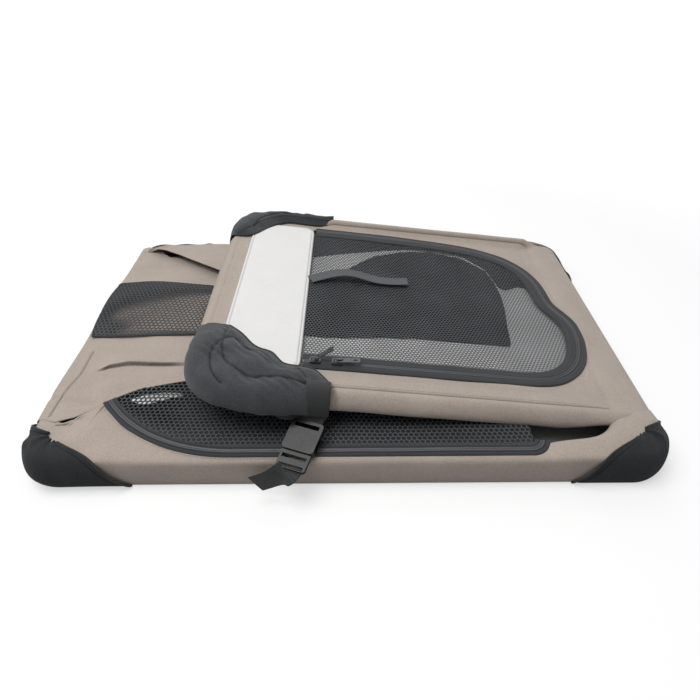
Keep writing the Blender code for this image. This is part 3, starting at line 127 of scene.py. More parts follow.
def natural_spline(knots: Array, values: Array, at: Array) -> Array:
    """Natural cubic spline: one cubic between each two knots, with equal slope and bend where they meet.

    Args:
        knots: increasing parameters, (n,).
        values: what the curve is at them, (n, k).
        at: the parameters to read, (m,).

    Returns:
        The curve's values there, (m, k).
    """
    knots, values = np.asarray(knots, float), np.asarray(values, float)
    gaps = np.diff(knots)
    slopes = np.diff(values, axis=0) / gaps[:, None]
    count = len(knots)
    system, right = np.eye(count), np.zeros_like(values)
    inner = np.arange(1, count - 1)
    system[inner, inner - 1], system[inner, inner + 1] = gaps[:-1], gaps[1:]
    system[inner, inner] = 2 * (gaps[:-1] + gaps[1:])
    right[inner] = 6 * np.diff(slopes, axis=0)
    bends = np.linalg.solve(system, right)
    at = np.clip(np.asarray(at, float), knots[0], knots[-1])
    cell = np.clip(np.searchsorted(knots, at) - 1, 0, count - 2)
    gap = gaps[cell][:, None]
    near, far = (knots[cell + 1] - at)[:, None], (at - knots[cell])[:, None]
    low, high = bends[cell], bends[cell + 1]
    return (
        (low * near**3 + high * far**3) / (6 * gap)
        + (values[cell] / gap - low * gap / 6) * near
        + (values[cell + 1] / gap - high * gap / 6) * far
    )


def lengths_along(points: Array) -> Array:
    """Distance from the first point to each, along the line through them."""
    return np.concatenate([[0.0], np.cumsum(np.linalg.norm(np.diff(points, axis=0), axis=1))])


def curve(points: list | Array, count: int) -> Array:
    """Points spaced evenly along the natural spline through the given ones, knotted by their distances."""
    points = np.asarray(points, float)
    knots = lengths_along(points)
    dense = natural_spline(knots, points, np.linspace(0.0, knots[-1], 40 * len(points)))
    return evenly(dense, count)


def evenly(points: Array, count: int) -> Array:
    """The same line, read at equal steps of its length."""
    along = lengths_along(points)
    at = np.linspace(0.0, along[-1], count)
    return np.stack([np.interp(at, along, points[:, axis]) for axis in range(points.shape[1])], axis=1)


def upper(points: Array) -> Array:
    """Upper-frame coordinates (x, y, w) to the row frame: a turn by the tilt about the hinge line."""
    x, y, w = np.moveaxis(np.asarray(points, float), -1, 0)
    cos, sin = math.cos(TILT), math.sin(TILT)
    return np.stack([UPPER_HINGE_X + x * cos + w * sin, y, UPPER_HINGE_Z - x * sin + w * cos], axis=-1)


UPPER_OUT = upper((0.0, 0.0, 1.0)) - upper((0.0, 0.0, 0.0))


def undulation(x: Array, y: Array | float, wave: float, seed: int) -> Array:
    """Soft unevenness from -1 to 1: the mean of six plane sine waves of about that length, in seeded directions."""
    draws = np.random.default_rng(seed)
    total = np.zeros(np.broadcast(x, y).shape)
    for _ in range(6):
        turn, phase = draws.uniform(0, 2 * math.pi, 2)
        pace = 2 * math.pi / (wave * draws.uniform(0.7, 1.6))
        total += np.sin(pace * (np.cos(turn) * x + np.sin(turn) * y) + phase)
    return total / 6 * 1.6


def normals_of(grid: Array) -> Array:
    """Unit normals of a grid of points: the cross product of its two gradients."""
    return unit(np.cross(np.gradient(grid, axis=1), np.gradient(grid, axis=0)))


def facing_normals(grid: Array, facing: tuple | Array) -> Array:
    """A grid's unit normals, turned so that on the whole they look the given way."""
    normal = normals_of(grid)
    return -normal if (normal * np.asarray(facing)).sum(-1).mean() < 0 else normal


def rounded_path(corners: list, radii: list[float], closed: bool = False, steps: int = 28) -> Array:
    """A line through corners whose turns are arcs of the given radii, tangent to both sides.

    Args:
        corners: (x, y) of each corner, in order.
        radii: the arc's radius at each corner, 0 for a sharp one.
        closed: whether the last corner joins the first.
        steps: points in each arc.

    Returns:
        The line's points, (n, 2).
    """
    corners = np.asarray(corners, float)
    count = len(corners)
    line = []
    for at in range(count):
        here = corners[at]
        if radii[at] <= 0 or (not closed and at in (0, count - 1)):
            line.append(here[None])
            continue
        to_last, to_next = unit(corners[at - 1] - here), unit(corners[(at + 1) % count] - here)
        half = math.acos(float(np.clip(to_last @ to_next, -1, 1))) / 2
        back = radii[at] / math.tan(half)
        centre = here + unit(to_last + to_next) * radii[at] / math.sin(half)
        start, stop = here + to_last * back - centre, here + to_next * back - centre
        sweep = math.pi - 2 * half
        share = np.linspace(0.0, 1.0, steps)[:, None]
        line.append(centre + (np.sin((1 - share) * sweep) * start + np.sin(share * sweep) * stop) / math.sin(sweep))
    if closed:
        line.append(line[0][:1])
    return np.concatenate(line)


class Track:
    """A plane line that is read by its length: places, and the normals on one side of it."""

    def __init__(self, points: Array, closed: bool = False) -> None:
        """Resamples the line evenly and works out its normals, to the right of it."""
        self.points = evenly(points, TRACK_POINTS)
        self.length = float(lengths_along(self.points)[-1])
        ahead = np.gradient(self.points, axis=0)
        if closed:
            ahead[0] = ahead[-1] = self.points[1] - self.points[-2]
        self.normals = unit(np.stack([ahead[:, 1], -ahead[:, 0]], axis=1))
        self.along = np.linspace(0.0, self.length, TRACK_POINTS)

    def at(self, along: Array, offset: Array | float = 0.0) -> Array:
        """The places at those lengths, moved out along the normals by the offset."""
        place = np.stack([np.interp(along, self.along, self.points[:, axis]) for axis in (0, 1)], axis=-1)
        return place + self.normal(along) * np.asarray(offset)[..., None]

    def beside(self, along: Array, offsets: Array) -> Array:
        """A plane grid along the line: a row for each length, with a place at each offset along its normal."""
        return self.at(along)[:, None] + self.normal(along)[:, None] * offsets[None, :, None]

    def normal(self, along: Array) -> Array:
        """The unit normals at those lengths."""
        return unit(np.stack([np.interp(along, self.along, self.normals[:, axis]) for axis in (0, 1)], axis=-1))


def base_track() -> Track:
    """The base's outline, from the middle of its left side round by the front, right and back."""
    corners = [(-HALF_X, 0), (-HALF_X, -HALF_Y), (HALF_X, -HALF_Y), (HALF_X, HALF_Y), (-HALF_X, HALF_Y), (-HALF_X, 0)]
    return Track(rounded_path(corners, [0, *[CORNER_RADIUS] * 4, 0]), closed=True)


DOOR_LINE = mm(((-355, -132), (-300, -132), (-240, -132), (-180, -132), (-130, -132), (-100, -131.6), (-76, -126.8),
                (-54, -113), (-36, -90), (-25.5, -62), (-20.5, -33), (-22.5, -10), (-30, 8), (-38, 26), (-40.5, 50),
                (-43, 80), (-52, 108), (-69, 131), (-95, 149), (-130, 160), (-180, 167), (-250, 171.5), (-310, 173),
                (-355, 172.5)))


def door_path(outset: float = 0.0, closed: bool = False) -> Array:
    """The door zip's line in upper-frame coordinates, from its front end round its far side to its back end.

    Args:
        outset: how far outside the zip's middle.
        closed: whether the line is closed under the cream panel.

    Returns:
        The line's points, (n, 2).
    """
    track = Track(curve(DOOR_LINE, 900))
    line = track.at(np.linspace(0.0, track.length, 900), outset)
    if not closed:
        return line
    front, back = [[UNDER_CREAM_X, line[0, 1]]], [[UNDER_CREAM_X, line[-1, 1]]]
    return np.concatenate([front, line, back, front])


# ---------------------------------------------------------------- meshes


def grid_faces(rows: int, columns: int, closed: bool = False) -> Array:
    """Quads between neighbouring points of a grid numbered row by row; closed joins the last column to the first."""
    across = np.arange(columns if closed else columns - 1)
    row, column = (part.ravel() for part in np.meshgrid(np.arange(rows - 1), across, indexing="ij"))
    below, beside = row + 1, (column + 1) % columns
    return np.stack(
        [row * columns + column, row * columns + beside, below * columns + beside, below * columns + column], axis=1
    )


def metric_uv(grid: Array) -> Array:
    """Texture places in metres: mean length along the columns, and along the rows."""
    across = np.linalg.norm(np.diff(grid, axis=1), axis=-1).mean(0)
    down = np.linalg.norm(np.diff(grid, axis=0), axis=-1).mean(1)
    return np.stack(np.meshgrid(*(np.concatenate([[0.0], np.cumsum(steps)]) for steps in (across, down))), axis=-1)


def flat_to(direction: tuple[float, float, float], points: Array) -> Array:
    """The points as seen along a direction: their two coordinates across it."""
    along = unit(np.asarray(direction, float))
    first = unit(np.cross(along, UP if abs(along[2]) < 0.9 else (1.0, 0.0, 0.0)))
    return points @ np.stack([first, np.cross(along, first)], axis=1)


def distance_to(points: Array, lines: list[Array], direction: tuple[float, float, float]) -> Array:
    """Each point's distance from the nearest of the lines, both seen along the direction."""
    flat = flat_to(direction, points.reshape(-1, 3))
    best = np.full(len(flat), 1.0)
    for line in lines:
        marks = flat_to(direction, evenly(line, max(20, int(lengths_along(line)[-1] / 0.0008))))
        for part in np.array_split(np.arange(len(flat)), max(1, len(flat) * len(marks) // 4_000_000)):
            best[part] = np.minimum(best[part], np.sqrt(((flat[part, None] - marks[None]) ** 2).sum(-1).min(1)))
    return best.reshape(points.shape[:-1])


def imprint(grid: Array, lines: list[Array], outward: Array, width: float = 0.0011, depth: float = 0.0008,
            direction: tuple[float, float, float] = SEEN_FROM) -> tuple[Array, Array]:
    """Presses sewn lines into a surface: the grid moves in by depth times e^(-(distance/width)^2).

    Args:
        grid: the surface's points.
        lines: the seams as polylines near it.
        outward: its outward normals.
        width: half the groove's width.
        depth: how deep the groove is.
        direction: the way in which lines and surface are laid over each other.

    Returns:
        The moved points, and how far each is in a groove, from 0 to 1.
    """
    near = np.exp(-((distance_to(grid, lines, direction) / width) ** 2))
    return grid - outward * (depth * near)[..., None], near


def add_mesh(name: str, vertices: Array | list, faces: Array | list, finish: Material,
             uv: Array | None = None, marks: dict[str, Array] | None = None,
             thickness: float = 0.0) -> Thing:
    """Puts worked-out points and faces into a new object.

    Args:
        name: the piece's name.
        vertices: its points, (n, 3).
        faces: vertex numbers of each face.
        finish: its material.
        uv: a texture place for each vertex, in metres.
        marks: named values for each vertex, such as how shaded it is.
        thickness: a sheet's thickness, laid behind its faces.

    Returns:
        The object, linked to the scene.
    """
    mesh = bpy.data.meshes.new(name)
    mesh.from_pydata(np.asarray(vertices, float).tolist(), [], faces.tolist() if isinstance(faces, Array) else faces)
    mesh.polygons.foreach_set("use_smooth", np.ones(len(mesh.polygons), bool))
    if uv is not None:
        corner = np.zeros(len(mesh.loops), np.int32)
        mesh.loops.foreach_get("vertex_index", corner)
        layer = mesh.uv_layers.new(name=UV_NAME)
        layer.data.foreach_set("uv", np.asarray(uv, np.float32)[corner].ravel())
    for mark, values in (marks or {}).items():
        attribute = mesh.attributes.new(mark, "FLOAT", "POINT")
        attribute.data.foreach_set("value", np.asarray(values, np.float32).ravel())
    mesh.update()
    mesh.materials.append(finish)
    made = bpy.data.objects.new(name, mesh)
    bpy.context.scene.collection.objects.link(made)
    if thickness:
        solid = made.modifiers.new("thickness", "SOLIDIFY")
        solid.thickness, solid.offset, solid.use_even_offset = thickness, -1.0, False
    return made


def soften(piece: Thing, width: float) -> None:
    """Rounds the sharp edges of a hard part: doubles are merged, then edges past a sharp angle are bevelled."""
    weld = piece.modifiers.new("merged", "WELD")
    weld.merge_threshold = 0.00002
    bevel = piece.modifiers.new("rounded", "BEVEL")
    bevel.width, bevel.segments, bevel.limit_method = width, 2, "ANGLE"
    bevel.angle_limit, bevel.harden_normals = SHARP_EDGE, False


def sheet_piece(name: str, grid: Array, finish: Material, facing: tuple | Array = UP,
                thickness: float = 0.0012, uv: Array | None = None, marks: dict[str, Array] | None = None,
                closed: bool = False) -> Thing:
    """A sheet of cloth from a grid of points, turned so that its faces look the given way.

    Args:
        name: the piece's name.
        grid: points, (rows, columns, 3), on the cloth's outer face.
        finish: its material.
        facing: a direction, or one for each point, that the outer face looks towards.
        thickness: the cloth's thickness, laid behind the outer face; 0 leaves a bare surface.
        uv: texture places in metres; the lengths along the grid if not given.
        marks: named values for each point.
        closed: whether the last column joins the first.

    Returns:
        The object.
    """
    rows, columns = grid.shape[:2]
    faces = grid_faces(rows, columns, closed)
    if (normals_of(grid) * np.asarray(facing)).sum(-1).mean() < 0:
        faces = faces[:, ::-1]
    flat_uv = (metric_uv(grid) if uv is None else uv).reshape(-1, 2)
    return add_mesh(name, grid.reshape(-1, 3), faces, finish, flat_uv, marks, thickness)


def fan_piece(name: str, edge: Array, centre: Array | tuple, height: Callable, finish: Material,
              rings: int, thickness: float, marks: Callable | None = None) -> Thing:
    """A sheet inside a closed outline: rings shrink from the edge to a middle point, closed by a fan.

    Args:
        name: the piece's name.
        edge: the outline, (n, 2), without its first point repeated.
        centre: the middle point.
        height: what the sheet's height is at given x, y and share of the way in.
        finish: its material.
        rings: how many rings there are.
        thickness: the sheet's thickness.
        marks: what gives named values at given x and y.

    Returns:
        The object.
    """
    share = np.linspace(0.0, 1.0, rings + 1)[:-1] ** 0.9
    flat = between(edge, np.asarray(centre), share)
    level = height(flat[..., 0], flat[..., 1], np.broadcast_to(share[:, None], flat.shape[:2]))
    points = lifted(flat, level).reshape(-1, 3)
    tip = height(np.array([centre[0]]), np.array([centre[1]]), np.ones(1))
    points = np.concatenate([points, [[centre[0], centre[1], float(tip[0])]]])
    count = len(edge)
    faces = grid_faces(rings, count, closed=True)
    last = (rings - 1) * count + np.arange(count)
    fan = np.stack([last, (rings - 1) * count + (np.arange(count) + 1) % count, np.full(count, rings * count)], axis=1)
    world = upper(points)
    if looks_in(world[faces[0]], UP):
        faces, fan = faces[:, ::-1], fan[:, ::-1]
    named = marks(points[:, 0], points[:, 1]) if marks else {}
    return add_mesh(name, world, [*faces.tolist(), *fan.tolist()], finish, points[:, :2], named, thickness)


class Hold(Enum):
    """How a sheet of cloth is held."""

    STRETCHED = "stretched"
    FOLDED = "folded"
    LAID = "laid"
    HUNG = "hung"


def declare_sheet(piece: Thing, length: float | None = None) -> None:
    """Works out a cloth piece's area and a flat rectangle that holds it, but keeps neither.

    The rectangle is the piece's box, widened to its area where it fills the box, or laid along the box's diagonal
    where it is a narrow band. A tape or strap gives its own length.
    """
    area = sum(polygon.area for polygon in piece.data.polygons)
    points = np.array([vertex.co for vertex in piece.data.vertices])
    long, wide = sorted(np.ptp(points, axis=0), reverse=True)[:2]
    fill = area / (long * wide)
    if length is not None:
        long, wide = length, max(area / length * 1.02, LEAST_WIDTH)
    elif fill > 0.98:
        long, wide = long * math.sqrt(fill), wide * math.sqrt(fill)
    elif fill < 0.35:
        long = math.hypot(long, wide)
        wide = max(area / long * 1.05, LEAST_WIDTH)


# ---------------------------------------------------------------- shaders


class Sock:
    """A value in a shader whose operators add Math nodes, so that a pattern reads as a formula."""

    def __init__(self, tree: bpy.types.NodeTree, socket: bpy.types.NodeSocket) -> None:
        """Wraps one output socket."""
        self.tree, self.socket = tree, socket

    def math(self, operation: str, *others: Sock | float) -> Sock:
        """A Math node of that operation on this value and the others."""
        node = self.tree.nodes.new("ShaderNodeMath")
        node.operation = operation
        for slot, value in zip(node.inputs, (self, *others)):
            feed(self.tree, slot, value)
        return Sock(self.tree, node.outputs[0])

    __add__ = __radd__ = partialmethod(math, "ADD")
    __mul__ = __rmul__ = partialmethod(math, "MULTIPLY")
    __sub__ = partialmethod(math, "SUBTRACT")
    __truediv__ = partialmethod(math, "DIVIDE")
    __pow__ = partialmethod(math, "POWER")
    least, most = partialmethod(math, "MINIMUM"), partialmethod(math, "MAXIMUM")
    sin, size = partialmethod(math, "SINE"), partialmethod(math, "ABSOLUTE")

    def __rsub__(self, other: float) -> Sock:
        """A number less this value."""
        return (self * -1.0) + other

    def held(self) -> Sock:
        """The value, kept from 0 to 1."""
        return self.least(1.0).most(0.0)

    def step(self, low: float, high: float) -> Sock:
        """Smoothstep from low to high."""
        node = self.tree.nodes.new("ShaderNodeMapRange")
        node.interpolation_type = "SMOOTHSTEP"
        feed(self.tree, node.inputs[0], self)
        node.inputs[1].default_value, node.inputs[2].default_value = low, high
        return Sock(self.tree, node.outputs[0])

    def centred(self, pitch: float, shift: float = 0.0) -> Sock:
        """How far this length is from the nearest multiple of the pitch, shifted by a share of it."""
        return ((self / pitch + (shift + 0.5)).math("FRACT") - 0.5) * pitch


def feed(tree: bpy.types.NodeTree, slot: bpy.types.NodeSocket, value: Sock | float | tuple) -> None:
    """Links a value to a socket, or sets the socket to a number or colour."""
    if isinstance(value, Sock):
        tree.links.new(value.socket, slot)
    elif isinstance(value, tuple) and len(value) == 3 and slot.type == "RGBA":
        slot.default_value = (*value, 1.0)
    else:
        slot.default_value = value


class Shader:
    """The node tree of one finish."""

    def __init__(self, name: str) -> None:
        """Makes an empty material."""
        self.material = bpy.data.materials.new(name)
        self.material.use_nodes = True
        self.tree = self.material.node_tree
        self.tree.nodes.clear()

    def node(self, kind: str, settings: dict | None = None, inputs: dict | None = None, out: int | str = 0) -> Sock:
        """Adds a node: its settings first, then the values or links of its sockets.

        Args:
            kind: the node's type.
            settings: its properties.
            inputs: what each socket, by name or number, is fed.
            out: which output to return.

        Returns:
            That output.
        """
        made = self.tree.nodes.new(kind)
        for key, value in (settings or {}).items():
            setattr(made, key, value)
        for key, value in (inputs or {}).items():
            feed(self.tree, made.inputs[key], value)
        return Sock(self.tree, made.outputs[out])

    def uv(self) -> tuple[Sock, Sock]:
        """The piece's own texture place, in metres."""
        place = self.node("ShaderNodeUVMap", {"uv_map": UV_NAME})
        return self.parts(place)[:2]

    def parts(self, vector: Sock) -> tuple[Sock, Sock, Sock]:
        """The three numbers of a vector."""
        node = self.tree.nodes.new("ShaderNodeSeparateXYZ")
        feed(self.tree, node.inputs[0], vector)
        return tuple(Sock(self.tree, output) for output in node.outputs)

    def place(self) -> Sock:
        """Object coordinates."""
        return self.node("ShaderNodeTexCoord", out="Object")

    def noise(self, scale: float, detail: float = 2.0, vector: Sock | None = None, rough: float = 0.5) -> Sock:
        """Noise of about 1/scale metres, from 0 to 1."""
        inputs = {"Vector": vector or self.place(), "Scale": scale, "Detail": detail, "Roughness": rough}
        return self.node("ShaderNodeTexNoise", inputs=inputs)

    def mark(self, name: str) -> Sock:
        """A named value of the mesh, 0 where it has none."""
        return self.node("ShaderNodeAttribute", {"attribute_name": name}, out="Fac")

    def mix(self, share: Sock | float, one: Sock | tuple, two: Sock | tuple) -> Sock:
        """A colour between two, by the share."""
        return self.node("ShaderNodeMix", {"data_type": "RGBA"}, {0: share, 6: one, 7: two}, out=2)

    def shaded(self, base: Sock, share: float, colour: tuple) -> Sock:
        """The base colour, mixed towards a darker one where the mesh is marked as shaded."""
        return self.mix(self.mark("shade").least(1.0) * share, base, colour)

    def bump(self, height: Sock, distance: float, strength: float = 1.0, under: Sock | None = None) -> Sock:
        """A normal from a height that is 1 at the distance."""
        inputs = {"Height": height, "Distance": distance, "Strength": strength}
        if under is not None:
            inputs["Normal"] = under
        return self.node("ShaderNodeBump", inputs=inputs)

    def finish(self, **inputs) -> Material:
        """Ends the tree in a Principled surface with those sockets, whose underscores stand for spaces."""
        surface = self.node("ShaderNodeBsdfPrincipled", inputs={key.replace("_", " "): v for key, v in inputs.items()})
        self.node_out(surface)
        return self.material

    def node_out(self, surface: Sock) -> None:
        """Links a surface to the material's output."""
        out = self.tree.nodes.new("ShaderNodeOutputMaterial")
        self.tree.links.new(surface.socket, out.inputs["Surface"])


def toned(colour: tuple, share: float) -> tuple:
    """A colour times a share, at most 1."""
    return tuple(min(1.0, part * share) for part in colour)


@dataclass(frozen=True)
class WovenCloth:
    """Plain-woven polyester: crossing threads, small flecks, soft mottling, painted shade in its seams, folds and under
    flaps, and a paler band where marked.
    """

    name: str
    colour: tuple[float, float, float]
    thread: float = 0.0009
    fleck: float = 0.30
    mottle: float = 0.13
    fuzz: float = 0.25
    roughness: float = 0.88

    def make(self) -> Material:
        """Colour = cloth x (1 + flecks + mottling), darker where painted shade is marked and paler where a paler band
        is marked; bump = threads over and under.
        """
        sh = Shader(self.name)
        u, v = sh.uv()
        pace = 2 * math.pi / self.thread
        weave = (u * pace).sin() * (v * pace).sin()
        flecks = sh.noise(760.0, 2.0, rough=0.75)
        cloudy = sh.noise(22.0, 4.0)
        tone = (flecks - 0.5) * (self.fleck * 2.4) + (cloudy - 0.5) * self.mottle * 2 + weave * 0.03 + 0.5
        seam = sh.mark("shade")
        paler_share = sh.mark("paler")
        base = sh.mix(tone.step(0.0, 1.0), toned(self.colour, 0.62), toned(self.colour, 1.36))
        # painted shade: where the shade mark is set (seams, folds, the slit and the cloth under the back wall's flap)
        # the colour goes towards near black
        base = sh.mix(seam.held() * 0.95, base, toned(self.colour, 0.08))
        # where a paler band is marked (the base caps' rim top and the strip beside the top caps' hem) the colour goes
        # paler
        base = sh.mix(paler_share.held() * 0.35, base, tuple(min(1.0, c * 1.5 + 0.05) for c in self.colour))
        threads = sh.bump(weave * 0.5 + flecks * 0.9, 0.00016, 0.75)
        creased = sh.bump(sh.noise(95.0, 3.0) + sh.noise(34.0, 2.0) * 1.4, 0.0011, 0.55, threads)
        return sh.finish(Base_Color=base, Roughness=self.roughness + (flecks - 0.5) * 0.12, Normal=creased,
                         Sheen_Weight=self.fuzz, Sheen_Roughness=0.6, Specular_IOR_Level=0.25)


@dataclass(frozen=True)
class OpenMesh:
    """Knitted polyester mesh: holes in staggered rows, rounded strands painted lighter away from the holes (painted
    highlight on their crowns and knots), and holes filled dark where marked.
    """

    name: str
    colour: tuple[float, float, float]
    pitch: float = 0.00415
    row: float = 0.0076
    hole: float = 0.41
    soft: float = 0.03

    def make(self) -> Material:
        """A point is in a hole if its distance from the nearest centre of two lattices is below the hole's share."""
        sh = Shader(self.name)
        u, v = sh.uv()
        one, two = (((u.centred(self.pitch, shift) / self.pitch) ** 2.0
                     + (v.centred(self.row, shift) / (self.pitch * 1.08)) ** 2.0) ** 0.5 for shift in (0.0, 0.5))
        away = one.least(two)
        hole_fill_and_shade = sh.mark("hole_fill_and_shade").held()
        solid = away.step(self.hole - self.soft, self.hole + self.soft)
        solid = solid + (1.0 - solid) * hole_fill_and_shade
        strand = away.step(self.hole - 0.1, 0.55)
        flecks = sh.noise(1500.0, 1.0)
        cloudy = sh.noise(18.0, 3.0)
        # painted highlight: strands are coloured lighter away from the holes, on their crowns and at the knots
        tone = strand * 0.55 + (flecks - 0.5) * 0.5 + (cloudy - 0.5) * 0.5 + 0.1
        base = sh.mix(tone.step(0.0, 1.0), toned(self.colour, 0.45), toned(self.colour, 1.9))
        # holes marked for filling are closed and coloured near black: at dense hems, and as painted shadow where the
        # mesh lies in shade
        base = sh.mix(hole_fill_and_shade * (1.0 - away.step(self.hole - 0.12, self.hole + 0.1)) * 0.8, base, toned(self.colour, 0.2))
        base = sh.shaded(base, 0.8, toned(self.colour, 0.2))
        normal = sh.bump(strand, 0.0005, 0.8)
        return sh.finish(Base_Color=base, Roughness=0.62, Alpha=solid, Normal=normal, Specular_IOR_Level=0.4)


@dataclass(frozen=True)
class ZipTape:
    """Woven zip tape: fine ribs along its length, with a slightly raised selvedge."""

    name: str
    colour: tuple[float, float, float]
    rib: float = 0.0011

    def make(self) -> Material:
        """Ribs are a sine of the width, crossed by a finer one of the length."""
        sh = Shader(self.name)
        u, v = sh.uv()
        ribs = (v * (2 * math.pi / self.rib)).sin() * 0.6 + (u * (2 * math.pi / (self.rib * 0.8))).sin() * 0.4
        flecks = sh.noise(1300.0, 1.0)
        tone = ribs * 0.22 + (flecks - 0.5) * 0.7 + sh.noise(30.0, 2.0) * 0.3 + 0.35
        base = sh.mix(tone.step(0.0, 1.0), toned(self.colour, 0.6), toned(self.colour, 1.6))
        base = sh.shaded(base, 0.85, toned(self.colour, 0.2))
        return sh.finish(Base_Color=base, Roughness=0.7, Normal=sh.bump(ribs, 0.00022, 0.8), Sheen_Weight=0.15)


@dataclass(frozen=True)
class NylonCoil:
    """Moulded nylon coil teeth: dark, with a dull gloss, painted lighter on their crowns and darker between them."""

    name: str
    colour: tuple[float, float, float]

    def make(self) -> Material:
        """Slightly uneven gloss; the colour is painted lighter on the crowns (painted highlight) and darker between
        them (painted shade).
        """
        sh = Shader(self.name)
        flecks = sh.noise(420.0, 2.0)
        # painted highlight and shade: the marked share colours the crowns of the teeth light and the gaps between them
        # dark
        base = sh.mix(sh.mark("paler").least(1.0), toned(self.colour, 0.45), toned(self.colour, 2.1))
        return sh.finish(Base_Color=base, Roughness=0.34 + flecks * 0.16, Specular_IOR_Level=0.6)


@dataclass(frozen=True)
class Webbing:
    """Heavy woven strap: rows of raised warp threads in offset steps."""

    name: str
    colour: tuple[float, float, float]
    rib: float = 0.0016
    lift: float = 0.00035

    def make(self) -> Material:
        """Height = |sin| along the strap, shifted by half a rib from one warp row to the next."""
        sh = Shader(self.name)
        u, v = sh.uv()
        row = (v / (self.rib * 1.15)).math("FLOOR")
        rib = ((u / self.rib + row * 0.5) * math.pi).sin().size()
        warp = ((v / (self.rib * 1.15)) * math.pi).sin().size()
        height = (rib * warp) ** 0.6
        flecks = sh.noise(1400.0, 2.0)
        tone = height * 0.62 + (flecks - 0.5) * 0.75
        base = sh.mix(tone.step(0.0, 1.0), toned(self.colour, 0.35), toned(self.colour, 2.0))
        base = sh.shaded(base, 0.8, toned(self.colour, 0.25))
        return sh.finish(Base_Color=base, Roughness=0.7, Normal=sh.bump(height, self.lift, 0.9), Sheen_Weight=0.2)


@dataclass(frozen=True)
class MouldedPlastic:
    """Injection-moulded plastic: fine grain, faint flow marks and slight rubbing."""

    name: str
    colour: tuple[float, float, float]
    roughness: float = 0.38
    grain: float = 0.00005
    shine: float = 0.55

    def make(self) -> Material:
        """Grain bump and a roughness that wanders."""
        sh = Shader(self.name)
        fine, broad = sh.noise(1900.0, 2.0), sh.noise(60.0, 3.0)
        base = sh.mix((broad - 0.25).step(0.0, 0.6), toned(self.colour, 0.8), toned(self.colour, 1.3))
        return sh.finish(Base_Color=base, Roughness=self.roughness + (broad - 0.5) * 0.2, Specular_IOR_Level=self.shine,
                         Normal=sh.bump(fine, self.grain, 0.6))


@dataclass(frozen=True)
class BareMetal:
    """Painted or plated metal: fine scratches, rubbed patches and small pits."""

    name: str
    colour: tuple[float, float, float]
    metallic: float = 1.0
    roughness: float = 0.35

    def make(self) -> Material:
        """Scratches are noise stretched along one way."""
        sh = Shader(self.name)
        long = sh.node("ShaderNodeMapping", {"vector_type": "POINT"}, {"Vector": sh.place(), "Scale": (60, 900, 900)})
        scratches = sh.noise(1.0, 3.0, long)
        patches = sh.noise(55.0, 3.0)
        base = sh.mix((patches * 0.6 + scratches * 0.4).step(0.3, 0.7), toned(self.colour, 0.7), self.colour)
        return sh.finish(Base_Color=base, Metallic=self.metallic, Roughness=self.roughness + (scratches - 0.5) * 0.25,
                         Normal=sh.bump(scratches, 0.00004, 0.5))


@dataclass(frozen=True)
class FibreBoard:
    """The floor's board: pressed fibres under a thin film."""

    name: str
    colour: tuple[float, float, float]

    def make(self) -> Material:
        """Two noises for fibres and stains."""
        sh = Shader(self.name)
        fibres, stains = sh.noise(700.0, 4.0), sh.noise(14.0, 3.0)
        base = sh.mix((fibres * 0.7 + stains * 0.3).step(0.3, 0.7), toned(self.colour, 0.65), self.colour)
        return sh.finish(Base_Color=base, Roughness=0.8 + (fibres - 0.5) * 0.2, Normal=sh.bump(fibres, 0.0001, 0.6))


class Slot(Enum):
    """The record's material slots."""

    TAUPE = "taupe_cloth"
    BLACK = "black_cloth"
    MESH = "mesh_cloth"
    CREAM = "cream_cloth"
    ZIP = "zip_tape"
    TIE = "tie_webbing"
    WEBBING = "webbing"
    STEEL = "painted_steel_tube"
    HINGE = "hinge_plastic"
    PIN = "pin_steel"
    BUCKLE = "buckle_plastic"
    SLIDER = "slider_metal"
    FLOOR = "floor_board"


